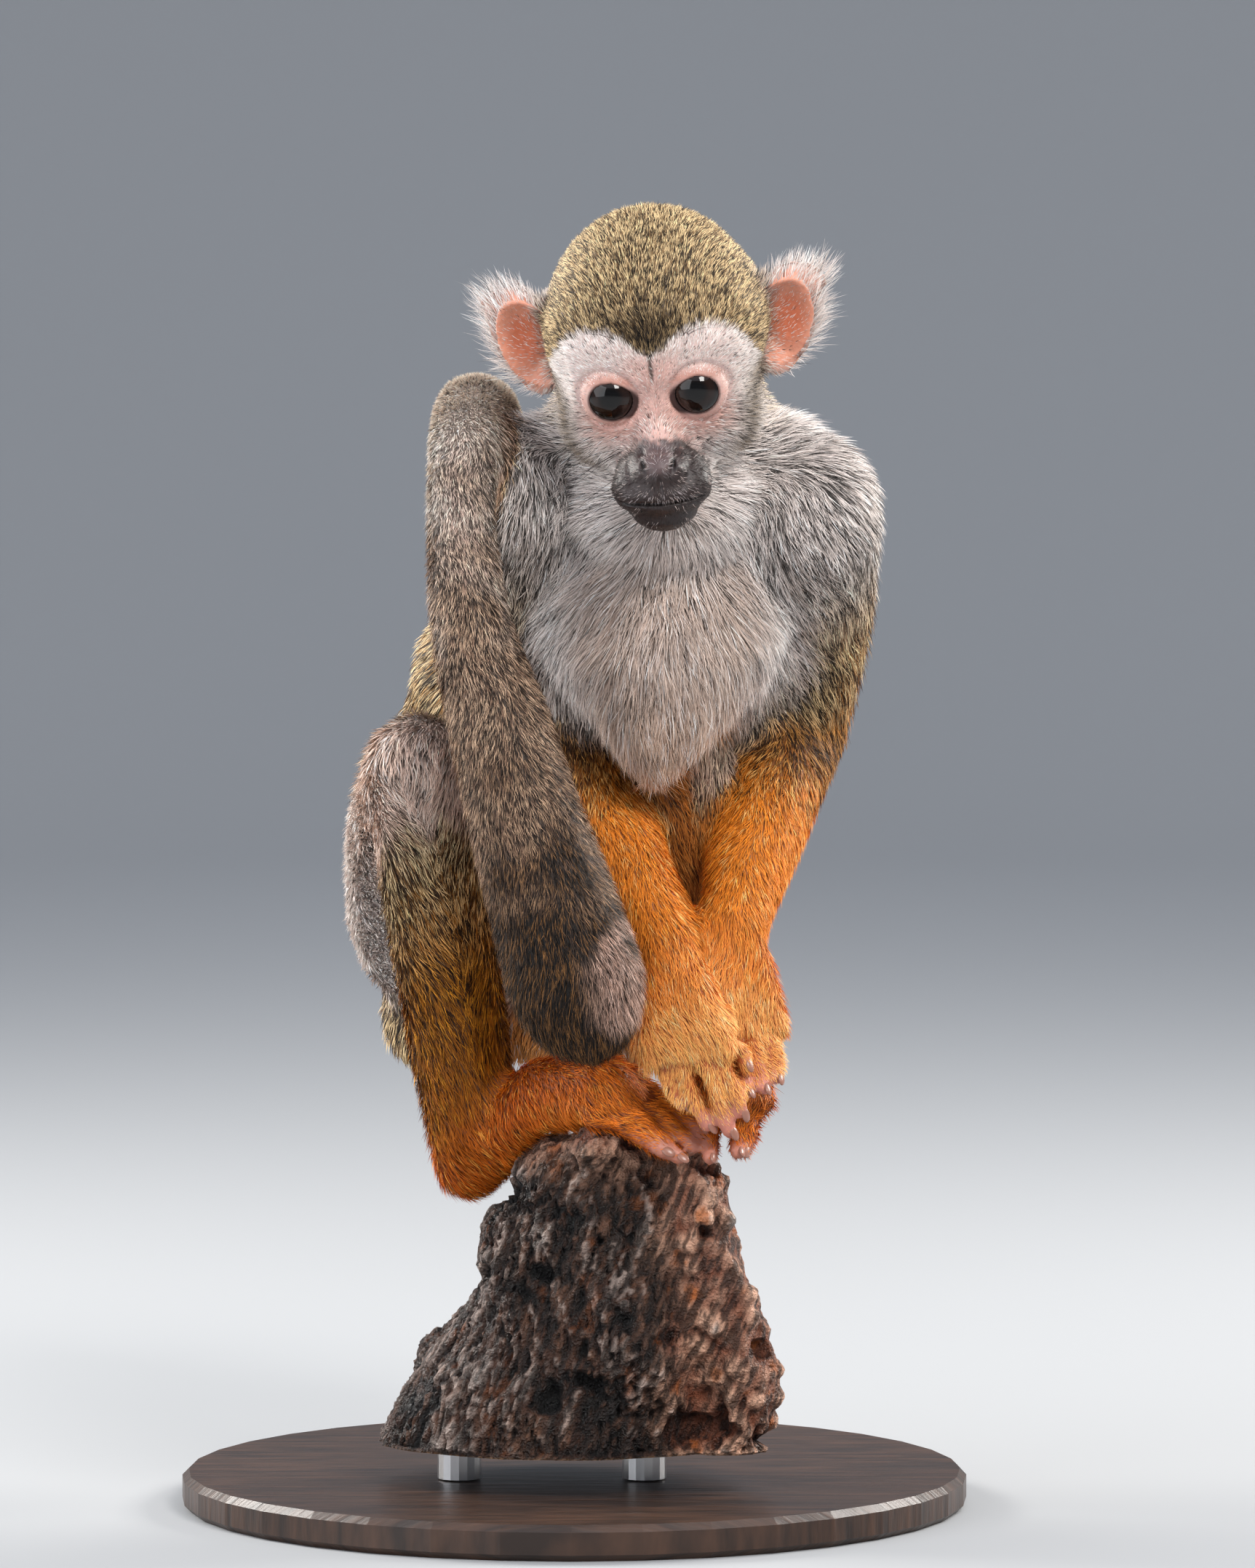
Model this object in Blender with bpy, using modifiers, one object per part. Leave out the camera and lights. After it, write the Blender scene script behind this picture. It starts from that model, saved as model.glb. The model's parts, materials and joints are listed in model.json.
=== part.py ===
"""A life-size still model of a squirrel monkey crouching on the end of a thick branch.

The animal looks along -Y, its own right side is at -X, and +Z is up. The origin is the middle of the
underside of the display stand. Places below are in millimetres from the top of the branch, in the frame
BRANCH_TOP, and each solid is the outline of the animal with its coat on.
"""

import math

import bmesh
import bpy
from mathutils import Matrix, Vector
from mathutils.bvhtree import BVHTree

# Driving dimensions, in millimetres.
MM = 0.001
GAP = 0.35  # between pieces that meet
BASE_RADIUS, BASE_THICKNESS, BASE_EDGE = 90.0, 8.0, 1.5
ROD_RADIUS, ROD_HEIGHT = 5.0, 9.0
ROD_PLACES = ((-46, 22), (-4, 22))
BRANCH_HEIGHT = 75.0
BASE_MIDDLE = (-20.0, 40.0)  # the stand's middle, seen from the top of the branch
BRANCH_TOP = Matrix.Scale(MM, 4) @ Matrix.Translation(
    (-BASE_MIDDLE[0], -BASE_MIDDLE[1], BASE_THICKNESS + ROD_HEIGHT + BRANCH_HEIGHT)
)
SIDES = {"right": -1, "left": 1}

# The head's own frame: origin between the eyes, -Y out of the face, +Z over the crown.
HEAD_PLACE, HEAD_PITCH, HEAD_ROLL, HEAD_YAW = (-2.0, -30.0, 161.6), 24.0, 6.5, 4.0
HEAD = (
    BRANCH_TOP
    @ Matrix.Translation(HEAD_PLACE)
    @ Matrix.Rotation(math.radians(-HEAD_ROLL), 4, "Y")
    @ Matrix.Rotation(math.radians(HEAD_PITCH), 4, "X")
    @ Matrix.Rotation(math.radians(-HEAD_YAW), 4, "Z")
)
EYE_RADIUS, EYE_SPREAD, EYE_DEPTH = 6.2, 9.4, 4.2

# The joints of the limbs, in millimetres from the top of the branch.
SHOULDER = {"right": (-33, 11, 138.5), "left": (30.5, 12, 135.5)}
UPPER_ARM_MIDDLE = {"right": (-31, 24, 112), "left": (33.5, 31, 111)}
ELBOW = {"right": (-24, 36, 88), "left": (31, 46, 88)}
FOREARM_MIDDLE = {"right": (-12, 14, 64), "left": (23, 24, 67)}
WRIST = {"right": (1.5, -8, 38), "left": (15.5, 0, 43)}
KNUCKLES = {"right": (4, -17, 20), "left": (17, -4, 23.5)}
HIP = {"right": (-47, 76, 42), "left": (0, 90, 43)}
THIGH_MIDDLE = {"right": (-51, 42, 61), "left": (-2, 56, 66)}
KNEE = {"right": (-54.5, 4, 79.5), "left": (3, 24, 84)}
CALF = {"right": (-50.5, 17, 48), "left": (6, 34, 48)}
ANKLE = {"right": (-43.5, 24, -2), "left": (9, 42, 12)}
HEEL = {"right": (-44, 27, -12.5), "left": (10, 45, 4)}
INSTEP = {"right": (-28, 12, 3.5), "left": (13, 22, 8)}
BALL = {"right": (-13, -4, 7), "left": (15.5, 0, 7)}

# Across each hand and foot, from the little digit to the thumb or big toe, and the way its digits point.
HAND_ACROSS = {"right": (0.97, -0.15, 0.17), "left": (-0.93, -0.3, -0.1)}
FINGER_WAY = {"right": (0.40, -0.12, -0.91), "left": (0.12, -0.42, -0.88)}
FOOT_ACROSS = {"right": (0.55, 0.6, 0.5), "left": (-1.0, 0.15, 0.1)}
TOE_WAY = {"right": (0.80, -0.42, -0.40), "left": (-0.12, -0.6, -0.8)}
FINGER_LENGTHS = {"right": (19, 18, 22, 21, 15), "left": (16, 17, 19, 18, 16)}
TOE_LENGTHS = {"right": (15, 20, 21, 20, 17), "left": (12, 14.5, 16, 15, 13)}
DIGIT_SPACING, DIGIT_RADIUS = {"finger": 5.4, "toe": 4.3}, 3.2

# The tail, from its root at the rump over the right shoulder and down the front: place and radius.
TAIL_PATH = (
    ((-30, 110, 40), 14),
    ((-33, 132, 62), 13),
    ((-35, 130, 98), 12),
    ((-37, 101, 131), 11),
    ((-40, 58, 151), 10.5),
    ((-42, 22, 158), 10),
    ((-44, -6, 150), 9),
    ((-44.5, -17, 132), 8.5),
    ((-42, -23, 110), 10),
    ((-36, -26, 90), 12),
    ((-30.5, -28, 70), 13.4),
    ((-23.5, -29, 48), 15),
    ((-19, -29, 33), 15.6),
    ((-17, -29, 27), 12),
)
TAIL_LENGTHS = 5


def material(name, colour, roughness=0.9, metallic=0.0):
    """One Principled material of a linear colour."""
    made = bpy.data.materials.get(name)
    if made is None:
        made = bpy.data.materials.new(name)
        made.use_nodes = True
        shader = made.node_tree.nodes["Principled BSDF"]
        shader.inputs["Base Color"].default_value = (*colour, 1)
        shader.inputs["Roughness"].default_value = roughness
        shader.inputs["Metallic"].default_value = metallic
    return made


def coat_of(name):
    """The material of a part of the body, by its name."""
    coats = (
        (("eye",), ("eye", (0.012, 0.008, 0.006), 0.08)),
        (("muzzle",), ("muzzle_skin", (0.035, 0.024, 0.022), 0.6)),
        (("ear",), ("ear_coat", (0.62, 0.42, 0.34), 0.9)),
        (("hand", "finger", "foot", "toe", "forearm"), ("orange_coat", (0.65, 0.24, 0.05), 0.9)),
        (("chest", "neck"), ("pale_coat", (0.52, 0.46, 0.40), 0.95)),
        (("tail",), ("tail_coat", (0.24, 0.18, 0.13), 0.95)),
        (("head", "abdomen", "thigh", "shin", "upper_arm"), ("olive_coat", (0.25, 0.19, 0.10), 0.95)),
    )
    for starts, look in coats:
        if name.startswith(starts):
            return material(*look)
    return material("wood", (0.16, 0.10, 0.07), 0.85)


def collection(name):
    """A new collection in the scene."""
    made = bpy.data.collections.new(name)
    bpy.context.scene.collection.children.link(made)
    return made


def lump(centre, radii, frame=BRANCH_TOP):
    """The matrix that makes a unit ball into an ellipsoid at centre."""
    return frame @ Matrix.Translation(Vector(centre)) @ Matrix.Diagonal((*radii, 1))


def smooth_path(points, step):
    """Places about every step along a smooth curve through points, each a tuple of numbers."""
    ends = [points[0], *points, points[-1]]
    places = []
    for before, start, end, after in zip(ends, ends[1:], ends[2:], ends[3:]):
        count = max(2, round(math.dist(start[:3], end[:3]) / step))
        for i in range(count):
            t = i / count
            places.append(
                tuple(
                    0.5
                    * (
                        2 * b
                        + (c - a) * t
                        + (2 * a - 5 * b + 4 * c - d) * t**2
                        + (3 * b - a - 3 * c + d) * t**3
                    )
                    for a, b, c, d in zip(before, start, end, after)
                )
            )
    return [*places, tuple(points[-1])]


def limb(points, radii, frame=BRANCH_TOP):
    """Round lumps along a smooth curve through points, with radii that change as smoothly."""
    stations = [(*point, radius) for point, radius in zip(points, radii)]
    step = min(radii) * 0.45
    return [lump(s[:3], (s[3],) * 3, frame) for s in smooth_path(stations, step)]


def mesh_object(name, mesh, group):
    """A new object with this mesh, in a collection."""
    made = bpy.data.objects.new(name, mesh)
    group.objects.link(made)
    return made


def settled(obj):
    """Gives obj its mesh as its modifiers leave it, and removes them."""
    bpy.context.view_layer.update()
    graph = bpy.context.evaluated_depsgraph_get()
    mesh = bpy.data.meshes.new_from_object(obj.evaluated_get(graph))
    obj.modifiers.clear()
    old, obj.data = obj.data, mesh
    bpy.data.meshes.remove(old)
    return obj


def fused(name, lumps, cell, rounds, faces, group):
    """One closed, smooth surface round all the lumps, of about this many triangles."""
    shape = bmesh.new()
    for matrix in lumps:
        bmesh.ops.create_uvsphere(shape, u_segments=20, v_segments=12, radius=1, matrix=matrix)
    mesh = bpy.data.meshes.new(name)
    shape.to_mesh(mesh)
    shape.free()
    made = mesh_object(name, mesh, group)
    remesh = made.modifiers.new("Fuse", "REMESH")
    remesh.mode, remesh.voxel_size = "VOXEL", cell * MM
    smooth = made.modifiers.new("Smooth", "SMOOTH")
    smooth.factor, smooth.iterations = 0.5, rounds
    settled(made)
    triangles = sum(len(p.vertices) - 2 for p in made.data.polygons)
    decimate = made.modifiers.new("Decimate", "DECIMATE")
    decimate.ratio = min(1, faces / triangles)
    decimate.use_collapse_triangulate = True
    return settled(made)


def grown(obj, group):
    """A copy of obj that is larger by GAP all round, for cutting its neighbours."""
    made = mesh_object("cut_" + obj.name, obj.data.copy(), group)
    displace = made.modifiers.new("Grow", "DISPLACE")
    displace.strength, displace.mid_level = GAP * MM, 0
    settled(made)
    made.hide_render, made.display_type = True, "WIRE"
    return made


def surface(obj):
    """The faces of an unmoved mesh object, ready for testing against others."""
    points = [v.co for v in obj.data.vertices]
    return BVHTree.FromPolygons(points, [p.vertices[:] for p in obj.data.polygons])


def meet(one, other):
    """Whether the surfaces of two objects cross."""
    return bool(surface(one).overlap(surface(other)))


def cut(obj, cutter):
    """Takes the room of a closed mesh out of obj."""
    boolean = obj.modifiers.new("Cut", "BOOLEAN")
    boolean.operation, boolean.solver, boolean.object = "DIFFERENCE", "EXACT", cutter
    settled(obj)


def largest_island(obj):
    """Keeps only the largest connected piece of obj, and clears slivers that a cut leaves."""
    shape = bmesh.new()
    shape.from_mesh(obj.data)
    bmesh.ops.dissolve_degenerate(shape, dist=0.02 * MM, edges=shape.edges)
    bmesh.ops.triangulate(shape, faces=shape.faces)
    islands, waiting = [], set(shape.verts)
    while waiting:
        island, front = set(), [waiting.pop()]
        while front:
            vertex = front.pop()
            island.add(vertex)
            reached = {e.other_vert(vertex) for e in vertex.link_edges} & waiting
            waiting -= reached
            front.extend(reached)
        islands.append(island)
    kept = max(islands, key=len)
    bmesh.ops.delete(shape, geom=[v for v in shape.verts if v not in kept], context="VERTS")
    shape.to_mesh(obj.data)
    shape.free()
    return obj


class Body:
    """The pieces made so far. Each new piece gives way to the ones before it."""

    def __init__(self):
        self.parts, self.cutters = collection("squirrel_monkey"), collection("cutters")
        self.grown = []

    def add(self, obj, *extra_cutters):
        """Cuts a new piece by the pieces before it, and keeps it."""
        cutter = grown(obj, self.cutters)
        touching = [c for c in [*self.grown, *extra_cutters] if meet(obj, c)]
        for other in touching:
            cut(obj, other)
        if touching:
            largest_island(obj)
        self.grown.append(cutter)
        obj.data.materials.clear()
        obj.data.materials.append(coat_of(obj.name))
        obj.data.shade_smooth()
        obj.data.set_sharp_from_angle(angle=math.radians(35))
        return obj

    def flesh(self, name, lumps, faces, cell=1.6, rounds=8, cutters=()):
        """Adds a soft part of the body."""
        return self.add(fused(name, lumps, cell, rounds, faces, self.parts), *cutters)

    def helper(self, name, lumps, cell=0.6, faces=200):
        """A hidden closed shape for hollowing a piece."""
        made = fused(name, lumps, cell, 2, faces, self.cutters)
        made.hide_render, made.display_type = True, "WIRE"
        return made


def cylinder(name, middle, radius, height, segments, frame, group):
    """An upright cylinder with its middle at this place."""
    shape = bmesh.new()
    bmesh.ops.create_cone(
        shape,
        cap_ends=True,
        segments=segments,
        radius1=radius,
        radius2=radius,
        depth=height,
        matrix=frame @ Matrix.Translation(middle),
    )
    mesh = bpy.data.meshes.new(name)
    shape.to_mesh(mesh)
    shape.free()
    return mesh_object(name, mesh, group)


def make_stand(body):
    """The flat round base and the two short rods that carry the branch."""
    floor = Matrix.Scale(MM, 4)
    middle = (0, 0, BASE_THICKNESS / 2)
    base = cylinder("stand_base", middle, BASE_RADIUS, BASE_THICKNESS, 36, floor, body.parts)
    bevel = base.modifiers.new("Bevel", "BEVEL")
    bevel.width, bevel.segments, bevel.limit_method = BASE_EDGE * MM, 1, "ANGLE"
    body.add(settled(base))
    base.data.materials[0] = material("stand_wood", (0.045, 0.03, 0.022), 0.45)
    for number, (x, y) in enumerate(ROD_PLACES, start=1):
        middle = (x, y, -BRANCH_HEIGHT - ROD_HEIGHT / 2)
        height = ROD_HEIGHT - 2 * GAP
        name = f"stand_rod_{number}"
        rod = cylinder(name, middle, ROD_RADIUS, height, 16, BRANCH_TOP, body.parts)
        body.add(rod)
        rod.data.materials[0] = material("stand_steel", (0.55, 0.55, 0.56), 0.3, 1.0)


def make_branch(body):
    """The gnarled branch end: a leaning cone of wood with a burl down its left, cut flat below."""
    cone = (
        (-5, 4, -13, 13),
        (-9, 9, -26, 22.5),
        (-11, 13, -44, 28.5),
        (-15, 17, -61, 34),
        (-22, 20, -78, 39),
        (-30, 22, -100, 43),
    )
    wood = [lump(s[:3], (s[3], s[3] * 0.85, s[3])) for s in smooth_path(cone, 6)]
    burl = limb(
        ((6, -4, -8), (9, -4, -20), (11, -2, -34), (16, 1, -49), (18, 2, -62), (14, 4, -76)),
        (7, 8.5, 9, 10, 9.5, 9),
    )
    knobs = [
        lump((-15, -6, -5), (7, 7, 6)),
        lump((0, 18, -10), (13, 24, 9)),
        lump((-22, 11, -17), (12.5, 16, 14.5)),
        lump((-32, 13, -31), (10.5, 13, 12)),
        lump((-30, 6, -42), (9, 12, 14)),
        lump((-7, -6, -50), (13, 9, 20)),
        lump((2, 32, -38), (17, 13, 22)),
        lump((-44, 26, -62), (13, 15, 14)),
    ]
    branch = fused("perch", [*wood, *burl, *knobs], 2.0, 3, 4000, body.parts)
    grain = bpy.data.textures.new("grain", "CLOUDS")
    grain.noise_scale, grain.noise_depth = 0.014, 2
    displace = branch.modifiers.new("Gnarl", "DISPLACE")
    displace.texture, displace.strength, displace.mid_level = grain, 4.5 * MM, 0.5
    decimate = branch.modifiers.new("Decimate", "DECIMATE")
    decimate.ratio = 0.17
    settled(branch)
    shape = bmesh.new()
    below = BRANCH_TOP @ Matrix.Translation((-30, 20, -BRANCH_HEIGHT - 50))
    bmesh.ops.create_cube(shape, size=1, matrix=below @ Matrix.Diagonal((400, 400, 100, 1)))
    mesh = bpy.data.meshes.new("saw_cut")
    shape.to_mesh(mesh)
    shape.free()
    saw = mesh_object("saw_cut", mesh, body.cutters)
    saw.hide_render, saw.display_type = True, "WIRE"
    body.add(branch, saw)


def make_head(body):
    """The eyes, the head with its eye hollows, the muzzle and the two ears."""
    for side, sign in SIDES.items():
        shape = bmesh.new()
        place = HEAD @ Matrix.Translation((sign * EYE_SPREAD, EYE_DEPTH, 0))
        bmesh.ops.create_uvsphere(
            shape, u_segments=12, v_segments=8, radius=EYE_RADIUS, matrix=place
        )
        mesh = bpy.data.meshes.new("eye_" + side)
        shape.to_mesh(mesh)
        shape.free()
        body.add(mesh_object("eye_" + side, mesh, body.parts))
    both = tuple(SIDES.values())
    skull = [
        lump((0, 29, 4.5), (25.2, 31, 27), HEAD),
        *(lump((x, 27, 6.5), (16.2, 27, 18), HEAD) for x in (-9, 10)),
        lump((0, 18, -6), (23, 20, 18.5), HEAD),
        lump((0, 14, -17), (14, 16, 12), HEAD),
        lump((0, 3, -5), (4.5, 6, 9), HEAD),
        *(lump((s * 9.3, 7.5, 1.5), (10.2, 8, 9.4), HEAD) for s in both),
        *(lump((s * 11.5, 19, -12), (12, 16, 11), HEAD) for s in both),
    ]
    hollows = [
        body.helper(f"eye_hollow_{s}", [lump((s * 9.6, -2.4, -0.2), (6.6, 4.4, 5.4), HEAD)])
        for s in both
    ]
    body.flesh("head", skull, 500, cell=1.2, rounds=5, cutters=hollows)
    snout = [
        lump((0, -3, -18), (11.2, 12.2, 8.8), HEAD),
        lump((0, 1, -10.5), (5.8, 8, 6.5), HEAD),
        lump((0, -9.8, -12.6), (5.4, 4.6, 3.9), HEAD),
        lump((0, -4.5, -24.2), (8.2, 8.8, 5.2), HEAD),
        *(lump((s * 4.9, -6.4, -18.2), (6.8, 7.4, 6), HEAD) for s in both),
    ]
    body.flesh("muzzle", snout, 280, cell=0.7, rounds=4)
    for side, sign in SIDES.items():
        pinna = (
            HEAD
            @ Matrix.Translation((sign * 29.5, 30, 3.5))
            @ Matrix.Rotation(math.radians(sign * 26), 4, "Z")
            @ Matrix.Rotation(math.radians(sign * 12), 4, "Y")
        )
        cup = body.helper(
            f"ear_cup_{side}", [lump((-sign * 2.5, -4.8, -0.5), (8, 5.6, 11), pinna)]
        )
        shell = [
            lump((-sign * 0.5, 0, 0), (10.4, 4.2, 15), pinna),
            lump((sign * 4.5, 0.5, 7.5), (7, 3.6, 6.5), pinna),
            lump((-sign * 8, 1, -5), (6, 4.4, 9.5), pinna),
        ]
        body.flesh(f"ear_{side}", shell, 140, cell=0.8, rounds=2, cutters=[cup])


def make_trunk(body):
    """The chest with its ruff, the abdomen and the neck."""
    both = tuple(SIDES.values())
    chest = [
        lump((0, 32, 116), (35, 32, 38)),
        lump((-6, 54, 124), (34, 30, 29)),
        lump((0, 9, 113), (28, 18, 28)),
        *(lump((s * 20 + 1, 18, 141), (21, 21, 20.5)) for s in both),
        *limb(((0, 4, 106), (-1, 3, 92), (-2.5, 2, 80)), (19, 14, 5.5)),
    ]
    body.flesh("chest", chest, 330, cell=2.2)
    abdomen = [
        lump((-15, 60, 106), (36, 34, 34)),
        lump((-22, 73, 92), (37.5, 35, 36)),
        lump((-28, 84, 72), (38, 35, 36)),
        lump((-31, 91, 52), (36, 32, 34)),
        lump((-32, 93, 36), (31, 28, 29)),
        *(lump((x, 85, 18), (19, 22, 19)) for x in (-48, -17)),
    ]
    body.flesh("abdomen", abdomen, 330, cell=2.2)
    nape = limb(((-1, 12, 160), (0, 24, 152), (0, 38, 141)), (24, 27, 29))
    throat = [lump((0, 2, 137), (23, 18, 17))]
    body.flesh("neck", [*nape, *throat], 200, cell=2.0)


def make_limbs(body):
    """Upper arms and thighs, then forearms and shins, then hands and feet."""
    for side in SIDES:
        arm = limb((SHOULDER[side], UPPER_ARM_MIDDLE[side], ELBOW[side]), (20, 15, 13))
        body.flesh("upper_arm_" + side, arm, 145, rounds=5)
    for side, radii in (("right", (27, 22, 13)), ("left", (25, 19, 13))):
        thigh = limb((HIP[side], THIGH_MIDDLE[side], KNEE[side]), radii)
        body.flesh("thigh_" + side, thigh, 165, rounds=5)
    for side in SIDES:
        forearm = limb((ELBOW[side], FOREARM_MIDDLE[side], WRIST[side]), (13, 12, 8.6))
        body.flesh("forearm_" + side, forearm, 135, rounds=5)
    for side in SIDES:
        shin = limb((KNEE[side], CALF[side], ANKLE[side]), (13, 13.5, 11.5))
        body.flesh("shin_" + side, shin, 145, rounds=5)
    for side in SIDES:
        foot = [
            *limb((ANKLE[side], HEEL[side]), (11.5, 9)),
            *limb((HEEL[side], INSTEP[side], BALL[side]), (9, 9.5, 9)),
        ]
        body.flesh("foot_" + side, foot, 135, cell=1.2, rounds=4)
    for side in SIDES:
        across = Vector(HAND_ACROSS[side]).normalized()
        wrist, knuckles = Vector(WRIST[side]), Vector(KNUCKLES[side])
        rows = [limb((wrist, knuckles + across * w), (7.8, 5)) for w in (-7, -2.5, 2.5, 7.5)]
        body.flesh("hand_" + side, sum(rows, []), 120, cell=0.9, rounds=3)


def digit(root, way, length, fold, bend):
    """Lumps of one digit of three bones from root, each bone turned on by bend about fold."""
    points = [Vector(root)]
    heading = Vector(way).normalized()
    for share in (0.45, 0.32, 0.23):
        points.append(points[-1] + heading * length * share)
        heading = Matrix.Rotation(math.radians(bend), 3, fold) @ heading
    return limb(points, [DIGIT_RADIUS * share for share in (1.1, 1, 0.95, 0.8)])


def make_digits(body):
    """Five fingers on each hand and five toes on each foot. Number 1 is the thumb or the big toe."""
    for side in SIDES:
        across = Vector(HAND_ACROSS[side]).normalized()
        way = Vector(FINGER_WAY[side]).normalized()
        for number in range(5, 0, -1):
            offset = 3.5 - number
            root = Vector(KNUCKLES[side]) + across * offset * DIGIT_SPACING["finger"]
            heading = way - across * offset * 0.04
            if number == 1:
                root = Vector(KNUCKLES[side]).lerp(Vector(WRIST[side]), 0.5) + across * 5
                heading = way + across * 0.25 * (side == "right")
            lumps = digit(root, heading, FINGER_LENGTHS[side][number - 1], across, 12)
            body.flesh(f"finger_{side}_{number}", lumps, 38, cell=0.8, rounds=2)
    for side in SIDES:
        across = Vector(FOOT_ACROSS[side]).normalized()
        way = Vector(TOE_WAY[side]).normalized()
        for number in range(5, 0, -1):
            offset = 3.5 - number
            root = Vector(BALL[side]) + across * offset * DIGIT_SPACING["toe"] + way * 3
            heading = way.copy()
            if number == 1:
                root = Vector(BALL[side]).lerp(Vector(INSTEP[side]), 0.35) + across * 5
                heading = way + across * 0.8 - Vector((0, 0, 0.5))
            lumps = digit(root, heading, TOE_LENGTHS[side][number - 1], across, 14)
            body.flesh(f"toe_{side}_{number}", lumps, 38, cell=0.8, rounds=2)


def make_tail(body):
    """The tail in a few lengths, each parted from the last by a thin straight cut."""
    stations = smooth_path([(*place, radius) for place, radius in TAIL_PATH], 3.0)
    lumps = [lump(s[:3], (s[3],) * 3) for s in stations]
    tube = fused("tail", lumps, 1.8, 6, 700, body.parts)
    ends = [round(i * (len(stations) - 1) / TAIL_LENGTHS) for i in range(TAIL_LENGTHS + 1)]
    for number in range(1, TAIL_LENGTHS + 1):
        length = mesh_object(f"tail_{number}", tube.data.copy(), body.parts)
        for end, way in ((ends[number - 1], -1), (ends[number], 1)):
            if 0 < end < len(stations) - 1:
                at, after = (BRANCH_TOP @ Vector(stations[k][:3]) for k in (end, end + 1))
                trim_beyond(length, at, (after - at).normalized() * way)
        body.add(length)
    bpy.data.objects.remove(tube)


def trim_beyond(obj, point, outwards):
    """Cuts obj off flat at point, half a gap short, and closes it."""
    shape = bmesh.new()
    shape.from_mesh(obj.data)
    whole = shape.verts[:] + shape.edges[:] + shape.faces[:]
    flat = point - outwards * GAP * MM / 2
    made = bmesh.ops.bisect_plane(
        shape, geom=whole, plane_co=flat, plane_no=outwards, clear_outer=True
    )
    rim = [e for e in made["geom_cut"] if isinstance(e, bmesh.types.BMEdge)]
    bmesh.ops.triangle_fill(shape, edges=rim, use_beauty=True)
    bmesh.ops.recalc_face_normals(shape, faces=shape.faces)
    shape.to_mesh(obj.data)
    shape.free()
    largest_island(obj)


def main():
    for obj in list(bpy.data.objects):
        bpy.data.objects.remove(obj)
    body = Body()
    make_stand(body)
    make_branch(body)
    make_head(body)
    make_trunk(body)
    make_limbs(body)
    make_digits(body)
    make_tail(body)


main()
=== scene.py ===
"""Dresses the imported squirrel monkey: one skin, a coat in tufts, eyes, nails, whiskers, branch and stage.

The animal faces -Y and its own right is at -X. Shapes are worked out in millimetres in the row frame and
written to meshes in metres. "Head places" are in the head's own frame, between the eyes: x to its left,
y to the back of the skull and z over the crown.
"""

import json
import math
import re

import bmesh
import bpy
import numpy as np
from mathutils import Matrix, Vector, kdtree, noise

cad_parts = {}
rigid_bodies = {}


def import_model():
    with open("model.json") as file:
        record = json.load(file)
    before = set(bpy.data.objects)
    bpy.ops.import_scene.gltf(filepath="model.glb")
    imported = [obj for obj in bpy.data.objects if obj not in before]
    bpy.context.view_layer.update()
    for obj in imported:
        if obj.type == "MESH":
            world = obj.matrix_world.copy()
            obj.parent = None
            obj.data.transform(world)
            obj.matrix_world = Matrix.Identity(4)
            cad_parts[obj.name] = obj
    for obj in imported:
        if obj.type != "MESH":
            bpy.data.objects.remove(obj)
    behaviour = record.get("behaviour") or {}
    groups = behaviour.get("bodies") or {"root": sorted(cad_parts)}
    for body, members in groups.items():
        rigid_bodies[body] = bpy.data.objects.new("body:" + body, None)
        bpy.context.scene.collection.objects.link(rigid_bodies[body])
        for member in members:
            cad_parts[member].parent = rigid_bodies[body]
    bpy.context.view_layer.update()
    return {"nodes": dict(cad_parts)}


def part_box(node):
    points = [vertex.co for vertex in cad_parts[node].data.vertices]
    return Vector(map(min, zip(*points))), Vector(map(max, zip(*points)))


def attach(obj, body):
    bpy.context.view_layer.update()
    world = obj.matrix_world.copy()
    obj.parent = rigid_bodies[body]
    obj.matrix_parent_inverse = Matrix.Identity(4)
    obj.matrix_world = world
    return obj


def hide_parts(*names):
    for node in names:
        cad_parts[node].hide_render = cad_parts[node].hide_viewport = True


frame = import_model()

bl_info = {
    "name": "Squirrel monkey dresser",
    "version": (1, 0, 0),
    "blender": (4, 5, 0),
    "location": "View3D > Sidebar > Monkey",
    "description": "Skin, coat, eyes, nails, branch and stage for the packed squirrel monkey",
    "category": "Object",
}

MM = 0.001
BODY = "root"
SIDES = {"right": -1, "left": 1}
BAKE_MAP = "OFBake"
COLOUR = "Col"
MOST_TRIANGLES = 190_000  # in one coat piece

FLOOR_REACH, BEND, WALL = 2.4, 1.3, 2.4  # m: flat floor, its bend and its wall's height
KEY_COLOUR, FILL_COLOUR, RIM_COLOUR = (1, 0.97, 0.93), (0.93, 0.96, 1), (1, 0.97, 0.92)
BELOW_HEAD = (-0.0058, 0.020, -0.0857)  # m from the head's frame to the middle of the view

HEAD_PITCH, HEAD_ROLL, HEAD_YAW = 24.0, 6.5, 4.0  # degrees, as the solids have them
EYE_RADIUS, EYE_DEPTH = 6.2, 4.2
EYE_OUT = 9.4  # from the midline to the middle of each eye
LIDS_WIDE, LIDS_UP, LIDS_DOWN = 4.95, 4.4, 4.2  # from the middle of the lids' opening to its edges
EAR_WIDE, EAR_TALL = 9.0, 13.5  # from the middle of an ear to its edges
NOSTRIL_OUT, NOSTRIL_HEIGHT = 3.3, -11.2
LOOK_UP = 14.0  # degrees that the eyes look up from the front of the head
NOSE, THROAT = (0, -12, -11), (0, 4, -30)  # head places

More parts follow.
